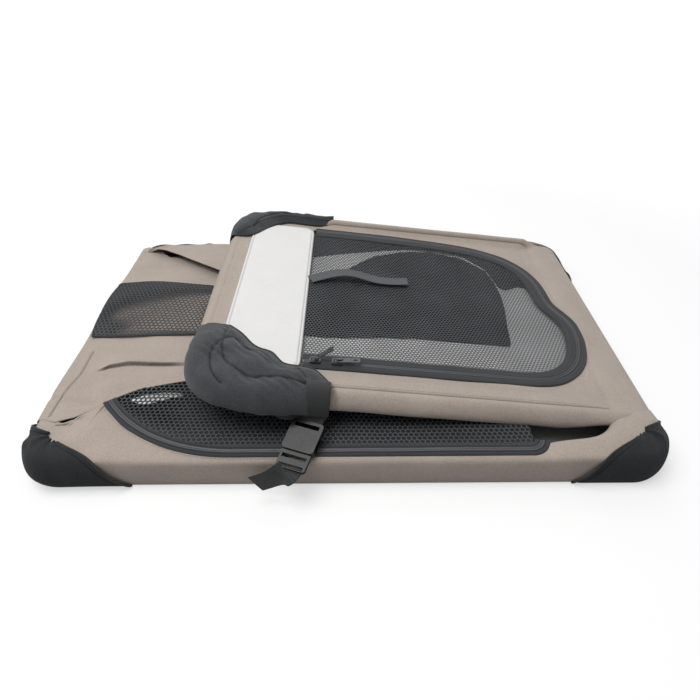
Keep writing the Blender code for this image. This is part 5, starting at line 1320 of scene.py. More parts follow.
@dataclass
class LowerFrame:
    """The folded-in left end frame's wall, which runs on over the left edge, and its puffed mesh pocket."""

    finishes: Finishes
    slit: tuple = ((-0.2990, -0.0950), (-0.2820, -0.0861), (-0.2618, -0.0818), (-0.2283, -0.0812), (-0.1966, -0.0825),
                   (-0.1760, -0.0850))

    def build(self) -> None:
        """Makes wall, pocket, their seams and the raised back wall."""
        self.wall()
        self.pocket()
        self.back_wall()

    @staticmethod
    def front_line(x: Array) -> Array:
        """The wall's front edge: from the left edge along the fold to the zip's tip, then along the mesh."""
        xs = mm([-334.5, -324, -310, -292, -278, -265.5, -259, -236.4, -205, -174.9, -120, -60, 0, 60, 170])
        ys = mm([-170, -171.5, -176, -168, -156, -144.5, -138, -123, -115, -108.5, -107, -107, -121, -137, -144])
        return np.interp(x, xs, ys)

    def height(self, x: Array, y: Array) -> Array:
        """The cloth's height: over the left edge, then flat with soft folds, and a step up behind the slit."""
        xs = mm([-334.6, -334, -332.5, -330.2, -326.2, -320, -310, -296, -288, -200, 170])
        zs = mm([24, 29, 33.5, 36, 37.6, 38.3, 38.4, 37.6, 37, 36.2, 35.2])
        level = np.interp(x, xs, zs)
        inside = smooth(x, -0.325, -0.300)
        span = smooth(x, -0.300, -0.280) * (1 - smooth(x, -0.195, -0.175))
        over = y - np.interp(x, *zip(*self.slit))
        step = np.where(over > 0, np.exp(-over / 0.018) * smooth(over, -0.0002, 0.0016), 0.0)
        level = level + 0.0042 * step * span - 0.0009 * np.exp(-np.abs(over + 0.0012) / 0.0015) * span
        sweep = bell(y - 0.35 * (x + 0.20), -0.052, 0.013) * smooth(x, -0.30, -0.24) * (1 - smooth(x, -0.15, -0.12))
        second = bell(y - 0.30 * (x + 0.25), -0.112, 0.012) * smooth(x, -0.30, -0.27) * (1 - smooth(x, -0.19, -0.16))
        level = level + 0.0026 * sweep + 0.0018 * second
        return level + inside * (0.0009 * undulation(x, y, 0.07, 31) + 0.0011 * undulation(x, y, 0.16, 12))

    def wall(self) -> None:
        """The wall and left apron as one sheet: rows run from its front edge to its back one at each x."""
        x = np.concatenate([np.linspace(-0.3345, -0.3180, 34)[:-1], np.linspace(-0.3180, 0.165, 330)])
        front = self.front_line(x)
        back = np.interp(x, [-0.3345, -0.320, -0.300, -0.280, 0.165], [0.212, 0.214, 0.205, 0.1835, 0.1835])
        share = np.linspace(0.0, 1.0, 300)[:, None]
        y = front[None] + (back - front)[None] * share
        xx = np.broadcast_to(x, y.shape)
        z = self.height(xx, y)
        near_front = np.exp(-(y - front[None]) / 0.010)
        z = z + 0.0007 * near_front * smooth(xx, -0.27, -0.25)
        edge = bell(y, 0.055, 0.055) * 0.0060 + 0.0030 * smooth(y, 0.02, -0.17) * smooth(y, -0.2, -0.1)
        left = (1 - smooth(xx, -0.334, -0.300)) * edge
        grid = np.stack([xx - left, y, z], axis=-1)
        normal = facing_normals(grid, UP)
        top = 0.038
        seam = lifted(curve(mm([(-313, -56), (-312.8, -76), (-312.5, -93.5), (-317.8, -122.9), (-319.5, -151.9),
                                (-320, -168)]), 120), top)
        fold = lifted(curve(mm([(-334.5, -133), (-308, -142), (-280, -145.5)]), 60), top)
        grid, shade = imprint(grid, [seam], normal, 0.0010, 0.0007, UP)
        grid, soft_shade = imprint(grid, [fold], normal, 0.0040, 0.0008, UP)
        span = smooth(xx, -0.299, -0.285) * (1 - smooth(xx, -0.215, -0.180))
        gap = bell(y - np.interp(xx, *zip(*self.slit)), 0.0004, 0.0013) * span
        free = self.free_edge(xx)
        hidden = smooth(xx, -0.315, -0.285) * (1 - smooth(xx, -0.15, -0.09))
        under = np.where(y < free, np.exp(-(free - y) / 0.011), 0.6) * hidden
        marks = {"shade": np.clip(shade * 0.55 + soft_shade * 0.08 + gap * 1.1 + under * 0.42, 0, 1)}
        piece = sheet_piece("lower_wall_cloth", grid, self.finishes.taupe, UP, 0.0013, uv=grid[..., :2], marks=marks)
        declare_sheet(piece)
        Piece.blend(piece, *LEFT_BEND, Slot.TAUPE, "lower_end_wall", "left_apron")
        raised = seam + np.array([0.0016, 0, 0.0])
        raised[:, 2] = self.height(raised[:, 0], raised[:, 1]) + 0.0002
        stitches = stitch_row("left_seam_stitches", raised, UP, self.finishes.thread, THREAD)
        Piece.blend(stitches, *LEFT_BEND, Slot.TAUPE)

    def pocket(self) -> None:
        """The pocket: a bilinear patch whose sides bow, puffed by a product of sines and higher at its left."""
        low = curve(mm([(-325, -28.5), (-275, -25), (-220, -23), (-175, -21.5)]), 170)
        high = curve(mm([(-333, 96), (-300, 105), (-240, 101), (-177, 90)]), 170)
        left = curve(mm([(-325, -28.5), (-332.5, 10), (-340, 62), (-333, 96)]), 120)
        share = np.linspace(0, 1, 120)[:, None, None]
        across = np.linspace(0, 1, 170)[None, :, None]
        flat = low[None] * (1 - share) + high[None] * share
        flat = flat + (left[:, None] - flat[:, :1]) * (1 - across) ** 3
        u, v = across[..., 0], share[..., 0]
        edge = np.sin(math.pi * np.clip(u, 0, 1)) ** 0.5 * np.sin(math.pi * v) ** 0.45
        puff = 0.0062 * edge * (1 - 0.6 * smooth(u, 0.4, 1.0)) + 0.0030 * bell(u, 0.16, 0.14) * np.sin(math.pi * v)
        crease = 0.0016 * bell(v - 0.75 * u, 0.15, 0.08) * edge - 0.0012 * bell(v - 0.5 * u, 0.42, 0.05) * edge
        z = 0.0390 + 0.0022 * (1 - smooth(u, 0.0, 0.2)) + puff + crease
        z = z + 0.0009 * undulation(flat[..., 0], flat[..., 1], 0.045, 17) * edge
        z = z - 0.012 * (1 - smooth(flat[..., 0], -0.342, -0.327)) * (1 - smooth(u, 0.0, 0.1))
        grid = lifted(flat, z)
        # holes filled dark along the hems and over the pocket's back-left part
        hole_fill_and_shade = 1.1 * bell(u, 0.0, 0.10) + 0.9 * smooth(v - 0.55 * u, 0.28, 0.62) * (1 - 0.5 * smooth(u, 0.6, 1.0))
        hole_fill_and_shade = hole_fill_and_shade + bell(v, 1.0, 0.10) + 0.5 * bell(v, 0.0, 0.05)
        hole_fill_and_shade = hole_fill_and_shade + 0.8 * bell(v - 0.5 * u, 0.05, 0.09) * bell(u, 0.1, 0.15)
        piece = sheet_piece("mesh_pocket_net", grid, self.finishes.pocket_mesh, UP, 0.0007, uv=flat,
                            marks={"hole_fill_and_shade": np.clip(hole_fill_and_shade, 0, 1)})
        declare_sheet(piece)
        Piece.blend(piece, *LEFT_BEND, Slot.MESH, "mesh_pocket")
        frame_line = np.concatenate([grid[0], grid[:, -1], grid[-1, ::-1]])
        hem = cord_trim("mesh_pocket_hem", evenly(frame_line, 260), 0.0014, self.finishes.binding, 0.6)
        Piece.blend(hem, *LEFT_BEND, Slot.MESH)
        # painted shadow: a near-black strip along the pocket's right side stands for the shadow under the roof's edge
        foot = curve(mm([(-174.5, -24, 37), (-174.5, 93, 37)]), 80)
        strip = np.stack([foot + np.array([shift, 0, 0.0012 * math.sin(math.pi * at)])
                          for at, shift in zip(np.linspace(0, 1, 6), np.linspace(-0.001, 0.022, 6))])
        side = sheet_piece("mesh_pocket_side", strip, self.finishes.lining_dark_and_shadow, UP, 0.0008)
        Piece.cloth(side, Hold.FOLDED, "lower_wall_cloth", "lower_frame", Slot.MESH)

    @staticmethod
    def free_edge(x: Array) -> Array:
        """Where the back wall's folded free edge lies at each x."""
        xs = mm([-335, -324, -310, -285, -259.8, -216.5, -178.4, -130, -65, -10, 50, 323.5])
        ys = mm([196, 196, 195, 188, 174, 143.1, 118, 115, 126, 170, 212, 212])
        return np.interp(x, xs, ys)

    def back_wall(self) -> None:
        """The back wall, folded in: its free edge is doubled over and stands up from the wall below."""
        x = np.linspace(-0.3240, 0.3235, 320)
        outer = np.interp(x, [-0.324, -0.315, -0.300, -0.285, 0.285, 0.300, 0.315, 0.3235],
                          [0.200, 0.2130, 0.2210, 0.2245, 0.2245, 0.2210, 0.2130, 0.200])
        inner = np.minimum(self.free_edge(x), outer - 0.003)
        share = np.linspace(0, 1, 60)[:, None]
        y = outer[None] + (inner - outer)[None] * share
        xx = np.broadcast_to(x, y.shape)
        raised = smooth(xx, -0.322, -0.295) * (1 - smooth(xx, -0.10, 0.02))
        lift = 0.0105 * raised * smooth(share, 0.15, 0.93) + 0.0024 * raised * bell(share, 0.45, 0.18)
        z = 0.0368 + lift + 0.0008 * undulation(xx, y, 0.08, 6) * raised
        grid = np.stack([xx, y, z], axis=-1)
        # the doubled edge: over it, under it, and back to the outer edge at most
        turned = [grid[-1] + lifted(np.tile([0.0, back], (len(x), 1)), drop) for back, drop in (
            (-0.0006, -0.0010), (0.0010, -0.0022 * raised[0]), (0.0120, -0.0034 * raised[0]))]
        turned[-1][:, 1] = np.minimum(turned[-1][:, 1], outer)
        grid = np.concatenate([grid, np.stack(turned)])
        shade = np.zeros(grid.shape[:2])
        shade[-len(turned):] = 0.6
        piece = sheet_piece("back_wall_cloth", grid, self.finishes.taupe, UP, 0.0012, marks={"shade": shade})
        Piece.cloth(piece, Hold.FOLDED, "lower_wall_cloth", "base", Slot.TAUPE, "back_side_wall")


# ---------------------------------------------------------------- the upper end frame


@dataclass
class Outline:
    """A rounded rectangle in upper-frame coordinates whose copies, inset or outset, share the same stations."""

    tip: float = -0.4752
    heel: float = -0.0135
    front: float = -0.1815
    back: float = 0.2055
    tip_radius: float = 0.0535
    heel_radius: float = 0.012
    count: int = 840
    middle: tuple[float, float] = (-0.22, 0.02)

    def __post_init__(self) -> None:
        """Spaces the stations evenly along the outline and keeps each one's direction from the middle."""
        self.places = evenly(self.path(0.0), self.count + 1)[:-1]
        self.turn = self.polar(self.places)[0]
        ahead = np.roll(self.places, -1, axis=0) - np.roll(self.places, 1, axis=0)
        self.normals = unit(np.stack([ahead[:, 1], -ahead[:, 0]], axis=1))

    def polar(self, line: Array) -> tuple[Array, Array]:
        """The direction and the distance of a line's places from the middle."""
        away = line - np.array(self.middle)
        return np.unwrap(np.arctan2(away[:, 1], away[:, 0])), np.hypot(away[:, 1], away[:, 0])

    def path(self, inset: float) -> Array:
        """The outline drawn in by the inset, closed, from the middle of its tip side by the front."""
        tip, heel, front, back = self.tip + inset, self.heel - inset, self.front + inset, self.back - inset
        middle = self.middle[1]
        corners = [(tip, middle), (tip, front), (heel, front), (heel, back), (tip, back), (tip, middle)]
        tip_radius, heel_radius = max(self.tip_radius - inset, 0.012), max(self.heel_radius - inset * 0.5, 0.006)
        return rounded_path(corners, [0, tip_radius, heel_radius, heel_radius, tip_radius, 0])

    def crossing(self, line: Array) -> Array:
        """Where rays from the middle through the stations cross a closed line round the middle."""
        turn, reach = self.polar(line)
        turn = turn + 2 * math.pi * round((self.turn[0] - turn[0]) / (2 * math.pi))
        turns = np.concatenate([turn - 2 * math.pi, turn, turn + 2 * math.pi])
        at = np.interp(self.turn, turns, np.tile(reach, 3))
        return np.array(self.middle) + at[:, None] * np.stack([np.cos(self.turn), np.sin(self.turn)], axis=1)

    def ring(self, inset: float) -> Array:
        """The stations' places on the outline drawn in by the inset."""
        return self.crossing(evenly(self.path(inset), 2400))


@dataclass
class UpperWall:
    """The upper end wall: face round the door opening, roll over the bent tube, and apron over the right edge."""

    finishes: Finishes
    face: float = 0.0100

    def build(self) -> None:
        """Makes the wall, its stitches and the cream panel.

        Rows run from the door's hole over the face, round the roll and under it; towards the hinge they turn into
        the apron, which lies over the right edge of the base.
        """
        outline = Outline()
        hole = outline.crossing(evenly(door_path(0.0062, closed=True), 2400))
        heel = smooth(outline.normals[:, 0], 0.30, 0.92)
        profile = mm([
            # inset, height: face, seam, roll's crown, side, foot, turned-in hem
            (30, 10), (23, 10.1), (18, 10.3), (15.5, 10.7), (14.3, 10),
            (13.5, 9.4), (12.7, 10.1), (11, 11.3), (8.5, 11.6), (5.8, 10.5),
            (3.4, 8.1), (1.3, 4.4), (-0.6, 0), (-1.4, -4.5), (-1.2, -8),
            (0.8, -10.8), (4.5, -12.5), (10, -12.8), (18, -10.5), (24, -7),
        ])
        apron_x = mm([264, 271, 276, 280, 282.2, 284.2, 286.2, 289.5, 293.5, 297.5, 302, 306.5, 311.5, 316.5, 321,
                      325, 328, 329.8, 330.4, 330])
        apron_z = mm([45.2, 44.3, 43.7, 43.2, 42.4, 41.8, 42.4, 43.2, 43.6, 43.4, 42.7, 41.8, 40.6, 39.3, 37.9, 36.5,
                      35, 33, 30.5, 28])
        drop = smooth(outline.places[:, 0], -0.085, -0.010) * smooth(-outline.normals[:, 1], 0.4, 0.9)
        back = smooth(outline.normals[:, 1], 0.2, 0.9)
        rows, face_rows = [], 15
        first = self.outside(outline.ring(profile[0, 0]), hole, outline.middle, 0.0015)
        hole_x = upper(lifted(hole, 0.009))[:, 0]
        swell = undulation(outline.places[:, 0], outline.places[:, 1], 0.13, 41)
        for at in range(face_rows):
            share = at / face_rows
            flat = hole + (first - hole) * share
            height = self.face + 0.0009 * undulation(flat[:, 0], flat[:, 1], 0.11, 9) * math.sin(math.pi * share)
            rows.append(upper(lifted(flat, height - 0.0018 * math.exp(-share / 0.12))))
        for number, (inset, height) in enumerate(profile):
            flat = self.outside(outline.ring(inset), hole, outline.middle, 0.0015 * (number + 1))
            below = max(0.0, 0.011 - height) / 0.022
            out = (0.0009 + 0.0009 * swell) * bell(height, 0.0, 0.011)
            out = out + 0.0004 * np.sin(outline.places[:, 0] * 70) * below
            flat = flat + outline.normals * out[:, None] * (inset < 0.012)
            hump = 0.0100 * (1 - smooth(-outline.places[:, 0], 0.335, 0.365))
            crown = hump * back * bell(inset, 0.0085, 0.0075) * (height > 0)
            filled = 0.0010 * bell(inset, 0.0136, 0.0016) * (1 - smooth(np.abs(outline.normals[:, 1]), 0.6, 0.95))
            level = height + crown + filled + drop * below * 0.0115
            points = upper(lifted(flat, level))
            y = points[:, 1]
            ripple = 0.0008 * undulation(y, number * 0.01, 0.09, 77)
            reach_x = np.maximum(apron_x[number], hole_x + 0.0030 + 0.0006 * number)
            moved_z = np.interp(reach_x, apron_x[:-1], apron_z[:-1])
            level_z = np.where(reach_x > apron_x[number], moved_z, apron_z[number])
            target = np.stack([reach_x, y, level_z + ripple * (number < 15)], axis=1)
            rows.append(points + (target - points) * heel[:, None])
        grid = np.stack(rows)
        facing = grid - upper((*outline.middle, -0.02))
        facing[..., 2] = np.maximum(facing[..., 2], 0.0) + 0.25
        shade = np.zeros(grid.shape[:2])
        seam_row = face_rows + 5  # the profile's groove
        sewn = smooth(np.abs(outline.normals[:, 1]), 0.6, 0.95)
        shade[seam_row] = 0.75 * sewn
        shade[[seam_row - 1, seam_row + 1]] = 0.25 * sewn
        gusset = [upper(curve(mm([(-324, -164, 11), (-321.5, -174, 12), (-318, -181.5, 6), (-317, -183, -4)]), 60))]
        grid, line = imprint(grid, gusset, facing_normals(grid, facing), 0.0012, 0.0007)
        piece = sheet_piece("upper_wall_cloth", grid, self.finishes.taupe, facing, 0.0013,
                            marks={"shade": np.clip(shade + 0.4 * line, 0, 1)}, closed=True)
        declare_sheet(piece)
        Piece.blend(piece, *RIGHT_BEND, Slot.TAUPE, "upper_end_wall", "right_apron")
        self.seam_stitches(outline)
        self.cream_panel()

    @staticmethod
    def outside(ring: Array, hole: Array, middle: tuple[float, float], gap: float) -> Array:
        """The ring's places, moved out along their rays where they would fall inside the door's hole."""
        away, least = ring - middle, np.linalg.norm(hole - middle, axis=1) + gap
        reach = np.linalg.norm(away, axis=1)
        return middle + away * (np.maximum(reach, least) / reach)[:, None]

    def seam_stitches(self, outline: Outline) -> None:
        """A stitch row just inside the roll's seam along the front and the back."""
        ring = outline.ring(0.0168)
        for name, keep in (("front", ring[:, 1] < -0.150), ("back", ring[:, 1] > 0.180)):
            keep &= (ring[:, 0] > -0.325) & (ring[:, 0] < -0.045)
            line = ring[keep]
            line = line[np.argsort(line[:, 0])]
            points = upper(evenly(lifted(line, 0.0106), 240))
            stitches = stitch_row(f"roll_stitches_{name}", points, UPPER_OUT, self.finishes.thread, THREAD)
            Piece.ride(stitches, "upper_frame", Slot.TAUPE)

    def cream_panel(self) -> None:
        """The cream panel: a soft pad with round corners and a stitched groove just inside its edge."""
        half, middle, radius, groove = np.array([0.0445, 0.1665]), np.array([-0.4017, 0.0165]), 0.017, 0.0036
        low, high = middle - half, middle + half
        edge = evenly(rounded_path([(low[0], low[1]), (high[0], low[1]), (high[0], high[1]), (low[0], high[1])],
                                   [radius] * 4, closed=True), 361)[:-1]

        def inside(x: Array, y: Array) -> Array:
            """How far in from the panel's edge a place is."""
            reach = np.abs(np.stack([x, y], axis=-1) - middle) - half + radius
            outer = np.linalg.norm(np.maximum(reach, 0.0), axis=-1)
            return radius - outer - np.minimum(np.maximum(reach[..., 0], reach[..., 1]), 0.0)

        def height(x: Array, y: Array, _share: Array) -> Array:
            """A pad: it rises within 3 mm of the edge, dips at the stitches and is softly uneven."""
            deep = inside(x, y)
            level = 0.0104 + 0.0016 * smooth(deep, -0.0003, 0.0018) - 0.0006 * bell(deep, groove, 0.0008)
            level = level + 0.0005 * undulation(x, y, 0.09, 15) * smooth(deep, 0.0, 0.02)
            return level + 0.0004 * smooth(deep, 0.005, 0.03)

        def marks(x: Array, y: Array) -> dict:
            """The stitched groove is shaded."""
            return {"shade": 0.35 * bell(inside(x, y), groove, 0.0009)}

        panel = fan_piece("cream_cloth", edge, middle, height, self.finishes.cream, 90, 0.0012, marks=marks)
        Piece.cloth(panel, Hold.STRETCHED, "upper_wall_cloth", "upper_frame", Slot.CREAM, "cream_panel")
        inner = middle + (edge - middle) * (1 - groove / half)
        line = lifted(inner[inner[:, 0] > -0.3662], 0.0116)
        points = upper(evenly(line[np.argsort(line[:, 1])], 300))
        stitches = stitch_row("cream_stitches", points, UPPER_OUT, self.finishes.pale_thread, THICK_THREAD)
        Piece.ride(stitches, "upper_frame", Slot.CREAM)


@dataclass
class TopCap:
    """A puffed black cap over a corner of the upper frame, drawn between its hem and its outline.

    Rows run from the hem over the puff to the outline and round under it; columns run from the tip side to the leg
    side. Sewn lines are pressed in, and the cloth swells with its distance from them.
    """

    name: str
    node: str
    hem: Array
    outline: Array
    seams: list
    puff: float
    crown: float
    foot: float
    leg_rise: float = 0.0
    columns: int = 150
    rows: int = 110

    def build(self, finishes: Finishes, seed: int) -> None:
        """Makes the cap, its hem binding and the stitches along its seams."""
        hem, outline = curve(self.hem, self.columns), curve(self.outline, self.columns)
        out = unit(outline - np.array([-0.36, 0.02]))
        span = np.linalg.norm(outline - hem, axis=1)
        along, rest = np.linspace(0, 1, self.columns), 0.0128
        full = smooth(np.minimum(along, along[::-1]), 0.0, 0.16)
        crown = rest + self.crown * full * smooth(span, 0.004, 0.024) + self.leg_rise * (1 - smooth(along, 0.0, 0.16))
        first_rise = 0.55 * rest + 0.45 * crown + 0.0042 * full
        controls = [
            # share of the way out, height, outset: hem, puff, outline, foot, turned-in hem
            (0.00, 0.0127, 0.0), (0.06, 0.0138, 0.0), (0.20, first_rise, 0.0), (0.42, crown + 0.0012, 0.0),
            (0.66, crown, 0.0), (0.86, 0.80 * crown, 0.0), (0.97, 0.48 * crown, 0.0012), (1.0, -0.0010, 0.0022),
            (1.0, self.foot * 0.55, 0.0022), (1.0, self.foot, 0.0008), (1.0, self.foot - 0.0035, -0.0050),
            (1.0, self.foot - 0.0025, -0.0120),
        ]
        local = loft([lifted(hem + (outline - hem) * share + out * outset * (0.4 + 0.6 * full)[:, None], height)
                      for share, height, outset in controls], self.rows)
        world = upper(local)
        facing = world - upper((-0.30, 0.02, -0.03))
        facing[..., 2] = np.maximum(facing[..., 2], 0.0) + 0.08
        normal = facing_normals(world, facing)
        lines = [upper(curve(seam, 80)) for seam in self.seams]
        away = distance_to(world, lines, SEEN_FROM)
        swell = self.puff * (1 - np.exp(-((away / 0.007) ** 2)))
        rim = np.linspace(0, 1, self.rows)[:, None]
        loose = full[None] * smooth(rim, 0.03, 0.15) * (1 - smooth(rim, 0.86, 0.97))
        x, y = local[..., 0], local[..., 1]
        pucker = 0.0009 if self.leg_rise == 0 else 0.0002
        puckers = np.exp(-away / 0.009) * pucker * np.sin((x * 0.8 + y * 0.6) * 560 + 2.2 * np.sin(y * 140))
        broad = 0.0014 * undulation(x, y, 0.045, seed) + 0.0008 * undulation(x, y, 0.020, seed + 1)
        world = world + normal * ((swell + puckers + broad) * loose)[..., None]
        near = bell(away, 0.0, 0.0012)
        world = world - normal * (0.0011 * near * loose)[..., None]
        band = bell(rim * self.rows, 13, 1.3)
        world = world - normal * (0.0006 * band * full[None])[..., None]
        marks = {"shade": np.clip(near * 0.9 * loose + 0.6 * band, 0, 1),
                 "paler": np.broadcast_to(0.3 * bell(rim, 0.045, 0.02), near.shape)}
        piece = sheet_piece(self.name, world, finishes.black, facing, 0.0014, marks=marks)
        Piece.ride(piece, "upper_frame", Slot.BLACK, self.node)
        hem_line = cord_trim(f"{self.name}_binding", evenly(world[1], 140), BINDING, finishes.binding)
        Piece.ride(hem_line, "upper_frame", Slot.BLACK)
        on_cap, away_out = world.reshape(-1, 3), normal.reshape(-1, 3)
        seen = flat_to(SEEN_FROM, on_cap)
        for number, seam in enumerate(lines[:3]):
            pick = ((flat_to(SEEN_FROM, evenly(seam, 120))[:, None] - seen[None]) ** 2).sum(-1).argmin(1)
            steadied = np.stack([np.convolve(np.pad(column, 4, "edge"), np.ones(9) / 9, "valid")
                                 for column in on_cap[pick].T], axis=1)
            row = stitch_row(f"{self.name}_stitches_{number}", steadied + away_out[pick] * 0.0006, away_out[pick],
                             finishes.dark_thread, THREAD)
            Piece.ride(row, "upper_frame", Slot.BLACK)


def top_caps() -> list[TopCap]:
    """The two top corner caps with their own hems, outlines and seams."""
    front = TopCap(
        "top_cap_front_cloth", "top_cap_front",
        hem=mm([(-441.4, -81.6), (-422.2, -97.6), (-402, -118), (-388.5, -123.1), (-374.1, -139.7), (-357, -142.4),
                (-341, -146.9), (-331.2, -158.3), (-324.7, -166.7)]),
        outline=mm([(-475.5, -80), (-476.8, -96), (-477, -113), (-476.8, -129), (-474.2, -146.5), (-466.2, -163),
                    (-453, -176.5), (-436, -185), (-419.1, -187.9), (-400.8, -191.6), (-375.9, -192.5),
                    (-355.9, -191.5), (-338, -188), (-323.5, -184.2)]),
        seams=[
            lifted(mm([(-438.8, -109), (-427.5, -112.7), (-412.5, -128), (-400.6, -129.8), (-383, -147.3),
                       (-367.3, -148.6), (-356.5, -155.1), (-349.7, -166.7)]), 0.018),
            lifted(mm([(-441.6, -105.9), (-438, -133.3), (-426.6, -151.4), (-413, -160.7), (-407.4, -164.7),
                       (-392.5, -162.8), (-372.1, -163.4), (-347.2, -169.6)]), 0.014),
            mm([(-438.8, -109, 18), (-448, -120, 12), (-450, -140, 10), (-442, -160, 8), (-433, -170, 6)]),
            mm([(-441.4, -81.6, 12.5), (-442, -105.9, 14)]),
        ],
        puff=0.0022, crown=0.0052, foot=-0.0105)
    back = TopCap(
        "top_cap_back_cloth", "top_cap_back",
        hem=mm([(-330, 193.5), (-348, 190.5), (-372.8, 190), (-395, 191.5), (-413.5, 180), (-431.4, 158), (-445, 140),
                (-470, 133)]),
        outline=mm([(-330, 207.5), (-350, 209), (-380, 209.8), (-405, 209.6), (-433, 206), (-456, 196), (-471.5, 178),
                    (-476.8, 153), (-476.8, 131)]),
        seams=[lifted(mm([(-445, 150), (-438, 180), (-420, 201), (-400, 208), (-375, 211)]), 0.016)],
        puff=0.0012, crown=0.0115, foot=-0.0085, leg_rise=0.0125)
    return [front, back]


@dataclass
class Roof:
    """The roof cloth, folded in five layers under the frame's tip, with a bound dark layer that shows outside."""

    finishes: Finishes

    def build(self) -> None:
        """Makes the folded cloth, the dark layer and the flap below the front cap."""
        levels, near, far = [-0.0165, -0.0190, -0.0215, -0.0240, -0.0262], -0.476, -0.338
        path = []
        for number, level in enumerate(levels):
            start, stop = (near, far) if number % 2 == 0 else (far, near)
            path += [(start + (stop - start) * share, level) for share in (0.0, 0.03, 0.25, 0.5, 0.75, 0.97, 1.0)]
            if number + 1 < len(levels):
                bend = 0.0016 if stop == far else -0.0016
                path.append((stop + bend, (level + levels[number + 1]) / 2))
        line = curve(path, 330)
        y = np.linspace(-0.142, 0.166, 150)
        xx, yy = np.meshgrid(line[:, 0], y)
        ww = np.broadcast_to(line[:, 1], xx.shape) + 0.0005 * undulation(xx, yy, 0.07, 3)
        trim = 0.010 * smooth(np.abs(yy - 0.012), 0.125, 0.154) ** 2 * smooth(-xx, 0.43, 0.48)
        cloth = upper(np.stack([xx + trim, yy, ww], axis=-1))
        piece = sheet_piece("roof_cloth", cloth, self.finishes.taupe, UP, 0.0010)
        Piece.cloth(piece, Hold.FOLDED, "lower_wall_cloth", "upper_frame", Slot.TAUPE, "roof_panel")
        outline = curve(mm([(-464, 185), (-474.5, 165), (-478, 120), (-479, 20), (-479, -90), (-478.5, -120),
                            (-475.5, -148), (-464, -168), (-442, -178)]), 220)
        inward = unit(np.array([-0.40, 0.0]) - outline)
        rows = []
        for reach, height in ((0.050, -0.0140), (0.020, -0.0138), (0.006, -0.0133), (0.0012, -0.0126), (0.0, -0.0138),
                              (0.0012, -0.0152), (0.006, -0.0156), (0.020, -0.0158), (0.045, -0.0160)):
            flat = outline + inward * reach
            wave = 0.0007 * undulation(flat[:, 0], flat[:, 1], 0.06, 90)
            rows.append(lifted(flat, height + wave))
        layer = upper(loft(rows, 30))
        dark = sheet_piece("roof_bound_edge", layer, self.finishes.black, UP, 0.0006)
        Piece.cloth(dark, Hold.FOLDED, "roof_cloth", "upper_frame", Slot.BLACK)
        top = curve(mm([(-408, -180, -9), (-386, -185, -9.5), (-359, -185.3, -10), (-342, -183.5, -10)]), 60)
        low = curve(mm([(-398, -181.5, -12.5), (-386, -185.8, -16), (-360, -186.2, -23.5), (-354, -183.5, -23)]), 60)
        flap = upper(between(top, low, np.linspace(0, 1, 16)))
        piece = sheet_piece("roof_dark_flap", flap, self.finishes.black, (0, -1.0, 0.2), 0.0010)
        Piece.cloth(piece, Hold.FOLDED, "roof_cloth", "upper_frame", Slot.BLACK)


